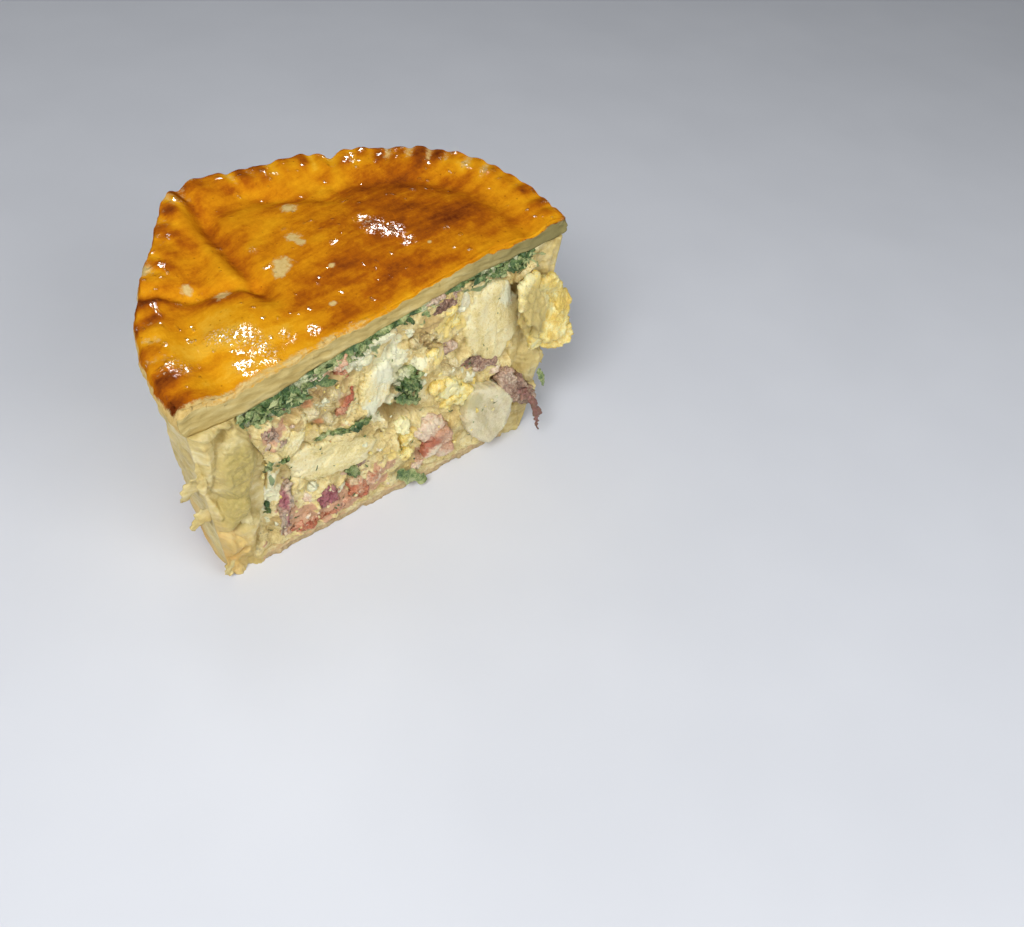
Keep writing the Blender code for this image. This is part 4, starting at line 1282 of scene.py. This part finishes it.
egg_points, egg_faces = half_round(
    lambda angle, level: room_radius(angle, level) - 0.1,
    base_top,
    filling_top,
    np.linspace(0, 1, 261),
    (0, 0.1, 0.4, 1),
    np.linspace(0, 1, 165),
)
x, y, z = egg_points.T
front = hill(y, 0, 0.01)
relief = egg_relief(x, z)
egg_points[:, 1] -= front * relief
patches = {kind: front * shown for kind, shown in egg_patches(x, z).items()}
add_piece(
    "set_egg",
    (egg_points, egg_faces),
    custard_paint(),
    "custard",
    ["egg_filling"],
    # hollow is where the face sinks back, and carries the painted shade there.
    hollow=front * step(-relief, 0.5, 2.6),
    **patches,
)

# %% [markdown]
# Smaller scraps lie in and on that face: strips of bacon, curds, crumbs of yolk and leaves. The
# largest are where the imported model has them, fused to its filling. Each sits at the depth of the
# face under it, which the same formula gives.

# %% Scraps on the face
# Each scrap: x, z, half length, half width, tilt, kind
SCRAPS = (
    (-37.0, 46.6, 3.4, 2.0, -66, "bacon"), (-15.4, 56.2, 3.6, 1.8, -52, "red_ham"),
    (-12.6, 37.4, 3.2, 1.2, 20, "greens"), (19.6, 59.0, 3.2, 2.2, -41, "yolk"),
    (27.6, 34.0, 3.6, 2.2, -44, "curd"), (13.6, 48.8, 3.4, 1.9, -51, "yolk"),
    (-13.6, 18.6, 3.6, 1.5, -55, "greens"), (-5.6, 11.2, 2.6, 1.8, -79, "ham"),
    (-40.8, 21.0, 2.2, 0.6, -88, "greens"), (14.0, 6.4, 3.9, 1.8, -28, "egg"),
    (5.2, 36.4, 4.6, 1.3, -33, "greens"), (40.6, 31.6, 3.0, 1.8, -20, "bacon"),
    (19.2, 48.8, 3.6, 1.9, -30, "bacon"), (-39.4, 48.7, 1.9, 1.2, 10, "bacon"),
    (-39.6, 43.2, 2.3, 1.3, 60, "bacon"), (-35.4, 43.2, 1.5, 1.0, 0, "bacon"),
    (-31.0, 52.2, 3.8, 0.8, -28, "bacon"), (-16.6, 60.4, 2.8, 1.6, 30, "red_ham"),
    (-15.4, 45.2, 3.6, 1.4, 52, "red_ham"), (-12.8, 48.8, 2.4, 1.2, 70, "red_ham"),
    (-24.2, 59.0, 2.8, 1.6, -20, "ham"), (-24.8, 55.6, 2.1, 1.2, 0, "curd"),
    (-21.6, 49.2, 2.2, 1.5, 20, "curd"), (-28.4, 48.2, 2.4, 1.4, -50, "egg"),
    (-22.0, 38.0, 2.3, 0.9, 8, "greens"), (-17.8, 37.4, 2.5, 0.8, -12, "greens"),
    (-9.0, 35.8, 2.2, 0.8, 10, "greens"), (15.2, 37.0, 2.8, 2.0, 20, "yolk"),
    (25.6, 37.4, 2.0, 1.4, 0, "curd"), (-39.2, 36.4, 1.5, 0.8, 70, "greens"),
    (-34.7, 36.4, 1.3, 0.6, 10, "greens"), (-11.0, 19.6, 1.8, 1.1, 20, "bacon"),
    (-31.0, 6.6, 4.2, 1.5, -14, "red_ham"), (-18.6, 6.8, 4.4, 1.6, 12, "red_ham"),
    (-7.2, 12.4, 3.0, 1.8, 40, "red_ham"), (13.4, 67.8, 3.0, 1.0, 8, "bacon"),
    (20.6, 67.4, 2.4, 1.0, 20, "bacon"), (18.6, 61.8, 2.2, 1.5, 30, "yolk"),
    (21.2, 56.8, 1.9, 1.4, -20, "yolk"), (23.0, 60.0, 1.5, 1.1, 0, "curd"),
    (8.2, 55.0, 2.4, 1.6, -40, "browned_onion"), (-30.0, 20.0, 2.0, 1.2, 60, "yolk"),
    (-28.6, 16.8, 1.8, 1.3, -30, "ham"), (-17.4, 13.6, 2.0, 1.4, 0, "curd"),
    (-40.4, 27.4, 1.8, 1.2, 40, "curd"), (-2.6, 17.4, 2.4, 1.5, 60, "egg"),
    (-16.0, 18.8, 2.0, 1.1, -20, "ham"), (9.4, 40.4, 2.2, 1.2, 60, "curd"),
    (2.4, 43.6, 1.6, 1.1, 0, "curd"), (1.2, 55.0, 2.2, 1.3, 70, "curd"),
    (5.4, 60.6, 2.6, 1.0, -70, "curd"), (29.6, 31.4, 1.6, 1.2, 0, "yolk"),
    (43.0, 28.0, 2.2, 1.3, -50, "bacon"), (37.0, 33.4, 2.2, 1.2, 20, "ham"),
    (-26.0, 19.6, 2.2, 1.2, 10, "curd"), (-9.4, 27.0, 2.0, 1.0, -60, "curd"),
    (7.0, 14.2, 1.6, 1.2, 0, "egg"), (13.4, 8.6, 4.2, 2.4, 60, "ham"), (9.4, 7.4, 2.8, 1.6, 20, "ham"),
    (18.4, 9.4, 3.0, 1.5, -50, "ham"),
)
CLUMP_CENTRE, CLUMP_LEAVES = (5.6, 42.8), 15


def face_depth(x, z):
    """How far the cut face stands out at a place, be it set egg or one of the pieces."""
    depth = egg_relief(x, z)
    for name, piece in PIECES.items():
        depth = np.where(inside_piece(name, x, z) > 0.2, piece[5], depth)
    return depth


def leaf_on_face(x, z, depth, half_long, half_wide, tilt, seed):
    """A curled leaf that touches the face at both ends, drawn out along its tilt."""
    dx, dz = half_long * np.cos(np.radians(tilt)), half_long * np.sin(np.radians(tilt))
    path = bent((x - dx, -depth, z - dz), (x, -depth - 1.2, z), (x + dx, -depth, z + dz))
    return strip(path, 2.4 * half_wide, 0.25, 0.35, 1.4, seed, steps=18, across=7)


depths = face_depth(*np.array([scrap[:2] for scrap in SCRAPS]).T)
gathered = {}
for place, (scrap, depth) in enumerate(zip(SCRAPS, depths)):
    kind = scrap[-1]
    depth = float(np.clip(depth, -0.4, 6))
    piece = (*scrap[:5], depth + 0.35, 2.6)
    if kind == "greens":
        body = leaf_on_face(scrap[0], scrap[1], depth, *scrap[2:5], place)
    else:
        body = lump(piece, 300 + place, 44, 12, 5, sharp=3)
    gathered.setdefault(kind, []).append(dress(body, piece, f"scrap{place}", kind))
leaves = np.random.default_rng(12)
for place in range(CLUMP_LEAVES):
    x, z = CLUMP_CENTRE[0] + leaves.normal(0, 1.5), CLUMP_CENTRE[1] + leaves.normal(0, 2.0)
    depth = 0.9 + leaves.uniform(0, 0.8)
    size = leaves.uniform(1, 2.6), leaves.uniform(0.3, 0.9)
    body = leaf_on_face(x, z, depth, *size, leaves.uniform(0, 180), 500 + place)
    gathered["greens"].append(dress(body, SCRAPS[0], f"leaf{place}", "greens"))
for kind, made in gathered.items():
    body, tone, mark = gather(made)
    add_food(f"{kind}_scraps", body, kind, tone, mark)

# %% [markdown]
# Finest of all are the crumbs that the knife left and the chopped herbs. They are scattered with a
# seeded random generator, and have only a few faces each.

# %% Crumbs and chopped herbs
rng = np.random.default_rng(11)
SPREAD, LOWEST_CRUMB = 43.0, 5.0
CRUMB_COUNTS, FLECK_COUNT = {"egg": 46, "curd": 24, "yolk": 22, "bacon": 10, "ham": 22}, 60


def resting_depth(x, z):
    """Depth of the face at a place, but no deeper than a shallow hollow."""
    return np.clip(face_depth(x, z), -1.5, 7)


def scattered(count):
    """Random places on the cut between the base and the lid, with the depth of the face there."""
    x = rng.uniform(-SPREAD, SPREAD, count)
    top = greens_bottom(x, 0 * x)
    z = LOWEST_CRUMB + rng.random(count) * (top - LOWEST_CRUMB - 1)
    return x, z, resting_depth(x, z)


def crumb(centre, size, stretch, turn):
    """A pebble: six-sided rings on a half circle profile, drawn out and turned."""
    rise = np.linspace(-np.pi / 2, np.pi / 2, 5)[None]
    around = np.linspace(0, 2 * np.pi, 7)[:, None]
    lumpy = 1 + 0.25 * np.sin(3 * around + turn) * np.cos(rise)
    u = size * stretch * np.cos(rise) * np.cos(around) * lumpy
    v = size * np.cos(rise) * np.sin(around) * lumpy
    c, s = np.cos(turn), np.sin(turn)
    y = size * 0.8 * np.sin(rise) + 0 * u
    return weld([(np.stack([u * c - v * s, y, u * s + v * c], axis=-1) + centre, False)])


for kind, count in CRUMB_COUNTS.items():
    x, z, depth = scattered(count)
    if kind in ("bacon", "ham"):
        x = np.where(rng.random(count) < 0.6, x * 0.5 - 20, x)
        z = np.where(rng.random(count) < 0.6, 4 + z * 0.2, z)
        depth = resting_depth(x, z)
    sizes = 0.25 + 0.45 * rng.random(count) ** 2
    bodies = [
        crumb((px, -pd, pz), size, rng.uniform(1, 1.9), rng.uniform(0, 3.1))
        for px, pz, pd, size in zip(x, z, depth, sizes)
    ]
    points, triangles = join(bodies)
    add_food(f"{kind}_crumbs", (points, triangles), kind, 0.55 + 0.35 * noise(points, 3, 91))

x, z, depth = scattered(FLECK_COUNT)
herbs, herb_tones = [], []
for place, (px, pz, pd) in enumerate(zip(x, z, depth)):
    length, turn = rng.uniform(0.7, 2.2), rng.uniform(0, 3.1)
    dx, dz = length * np.cos(turn) / 2, length * np.sin(turn) / 2
    path = bent((px - dx, -pd - 0.15, pz - dz), (px, -pd - 0.5, pz), (px + dx, -pd - 0.1, pz + dz))
    herbs.append(strip(path, rng.uniform(0.25, 0.6), 0.12, 0.08, 1.0, place, steps=5, across=3))
    herb_tones.append(np.full(len(herbs[-1][0]), rng.uniform(0.2, 0.6)))
add_food("herb_flecks", join(herbs), "greens", np.concatenate(herb_tones))

# %% [markdown]
# The greens are a soft dark bed with leaf shreds that curl out of it. A shred is the same thin strip
# as a flake, narrower, and every one has a shade of green of its own.

# %% Layer of greens
SHRED_COUNT = 130
bed_points, bed_faces = half_round(
    lambda angle, level: room_radius(angle, np.ones_like(level)) - 0.1,
    greens_bottom,
    lambda x, y: greens_top(x, y) + 0.25,
    np.linspace(0, 1, 301),
    (0, 0.1, 0.4, 1),
    np.linspace(0, 1, 15),
)
front = hill(bed_points[:, 1], 0, 0.01)
torn = 0.6 * noise(bed_points, 3.0, 91, 2) + broken(bed_points, 2.4, 92, 1.0)
bed_points[:, 1] -= front * torn
add_food(
    "greens_bed",
    (bed_points, bed_faces),
    "greens",
    0.45 + 0.35 * noise(bed_points, 3, 93, 2),
    0.6 * step(noise(bed_points, 5, 94, 2), 0.0, 0.5),
    ["greens_layer"],
)

shreds, shred_tones = [], []
for index in range(SHRED_COUNT):
    x = rng.choice([rng.normal(-34, 7), rng.normal(-10, 12), rng.normal(39, 6)], p=[0.5, 0.2, 0.3])
    x = float(np.clip(x, -45, 45))
    top = float(greens_top(np.array(x), np.array(0.0)))
    deep = top - float(greens_bottom(np.array(x), np.array(0.0)))
    z = top - 0.4 - rng.random() * deep * 0.9
    lean, drop = rng.normal(0, 3.2), rng.uniform(0.3, 2.6)
    bulge = rng.uniform(0.5, 1.5)
    tip = (x + lean, -0.2 - bulge / 2, z - drop)
    path = bent((x, 0.4, z), (x + lean / 2, -bulge, z - drop / 3), tip)
    shreds.append(strip(path, rng.uniform(0.8, 2.8), 0.25, 0.35, 1.3, index, steps=14, across=7))
    shred_tones.append(np.full(len(shreds[-1][0]), rng.uniform(0.25, 0.95)))
add_food("greens_shreds", join(shreds), "greens", np.concatenate(shred_tones))

# %% [markdown]
# Two leaves fell out of the filling, and one rasher ended in a dark hanging string. They are strips
# and a flattened tube along bent lines.

# %% Loose leaves and the hanging rasher


def tube(path, radii, flat, steps=60, sides=20):
    """Rings round a path whose radius follows a list."""
    along = np.linspace(0, 1, steps)
    centre, side, out = along_path(path, along)
    around = np.linspace(0, 2 * np.pi, sides + 1)
    closing = np.sqrt(np.clip(1 - (2 * along - 1) ** 10, 0, 1))
    radius = np.interp(along, np.linspace(0, 1, len(radii)), radii) * closing
    ring = np.cos(around)[None, :, None] * side[:, None]
    ring = ring + flat * np.sin(around)[None, :, None] * out[:, None]
    return weld([(centre[:, None] + radius[:, None, None] * ring, False)])


rasher = PIECES["bacon_stringy"]
rind_path = bent((45.0, -2.0, 22), (51.0, -9.3, 21), (52.5, -7.6, 5.6))
rind = tube(rind_path, (1.3, 1.6, 1.3, 0.9, 1.2, 0.6), 0.65)
rasher_part = dress(lump(rasher, seed_of("bacon_stringy")), rasher, "bacon_stringy", "bacon")
rind, tone, mark = dress(rind, rasher, "rind", "bacon")
body, tone, mark = gather([rasher_part, (rind, tone - 0.35, mark + 0.4)])
add_food("bacon_stringy_fine", body, "bacon", tone, mark, ["bacon_stringy"])

leaf_path = bent((1.2, -1.4, 9.6), (5.5, -2.6, 6.2), (11.0, -3.4, 2.4))
sliver_path = bent((51.2, -5.4, 29.6), (53.2, -6.4, 26), (54.6, -6.0, 21.6))
for name, body in (
    ("base_leaf", strip(leaf_path, 5.4, 0.4, 0.5, 2.2, 0.4, 60, 15)),
    ("leaf_strip", strip(sliver_path, 2.3, 0.4, 0.15, 1.0, 0.2, 40, 9)),
):
    add_food(name + "_fine", body, "greens", 0.68 + 0.4 * noise(body[0], 2.2, 95, 2), 0.0, [name])

# %% [markdown]
# The camera stands where the photograph was taken from. Its turn is given by the three directions
# of the picture: to its right, down it, and into it. The floor is a wide pale sheet.

# %% Camera, lights and floor
TURN, PITCH, ROLL = np.radians((-46.85, 46.0, -8.63))
EYE = np.array([-113.3, -154.9, 216.4])
FOCAL, IMAGE_WIDTH, SENSOR = 930.0, 1024.0, 36.0
FLOOR_REACH = 3


def stand(thing, right, up, back, place):
    """Turns a camera or lamp to three directions and puts it at a place in millimetres."""
    matrix = np.eye(4)
    matrix[:3, :3] = np.stack([right, up, back], axis=1)
    matrix[:3, 3] = (np.array(place) + SHIFT) * MM
    thing.matrix_world = Matrix(matrix.tolist())
    bpy.context.scene.collection.objects.link(thing)


ahead = np.array([-np.sin(TURN) * np.cos(PITCH), np.cos(TURN) * np.cos(PITCH), -np.sin(PITCH)])
level_right = np.array([np.cos(TURN), np.sin(TURN), 0.0])
level_down = np.cross(ahead, level_right)
picture_right = np.cos(ROLL) * level_right + np.sin(ROLL) * level_down
picture_down = -np.sin(ROLL) * level_right + np.cos(ROLL) * level_down
camera = bpy.data.objects.new("camera", bpy.data.cameras.new("camera"))
camera.data.sensor_width = SENSOR
camera.data.lens = FOCAL / IMAGE_WIDTH * SENSOR
camera.data.clip_start = 0.01
stand(camera, picture_right, -picture_down, -ahead, EYE)
bpy.context.scene.camera = camera


def area_light(name, place, target, size, power):
    """A square lamp at a place in millimetres, facing its target."""
    lamp = bpy.data.lights.new(name, "AREA")
    lamp.size, lamp.energy = size * MM, power
    shown = bpy.data.objects.new(name, lamp)
    direction = np.array(place, float) - np.array(target, float)
    back = direction / np.linalg.norm(direction)
    right = np.cross([0.0, 0.0, 1.0], back)
    right /= np.linalg.norm(right)
    stand(shown, right, np.cross(back, right), back, place)
    return shown


area_light("key", (-440, -250, 600), (0, 10, 40), 290, 4.15)
area_light("fill", (100, -680, 420), (0, 0, 40), 560, 2.95)
for name, place, target, size, power in (
    ("glint", (133, 250, 360), (14, 24, 75), 70, 0.9),
    ("glint_left", (5, 190, 405), (-36, 11, 70), 110, 2.2),
):
    area_light(name, place, target, size, power).visible_diffuse = False

world = bpy.data.worlds.new("studio")
world.use_nodes = True
world.node_tree.nodes["Background"].inputs["Color"].default_value = (0.93, 0.96, 1.0, 1)
world.node_tree.nodes["Background"].inputs["Strength"].default_value = 0.20
bpy.context.scene.world = world
bpy.context.scene.view_settings.view_transform = "Standard"

floor_paint = Paint("pale_floor")
shade = floor_paint.noise(60, 2)
floor_colour = floor_paint.ramp(shade, [(0.3, (0.70, 0.72, 0.77)), (0.7, (0.73, 0.75, 0.80))])
floor_mesh = bpy.data.meshes.new("floor")
corners = [(x * FLOOR_REACH, y * FLOOR_REACH, 0) for x, y in ((-1, -1), (1, -1), (1, 1), (-1, 1))]
floor_mesh.from_pydata(corners, [], [(0, 1, 2, 3)])
floor_mesh.materials.append(floor_paint.finish(floor_colour, 0.45, specular_ior_level=0.1))
floor = bpy.data.objects.new("floor", floor_mesh)
bpy.context.scene.collection.objects.link(floor)
print("camera", round(float(np.linalg.norm(EYE))), "mm from the foot of the cut")
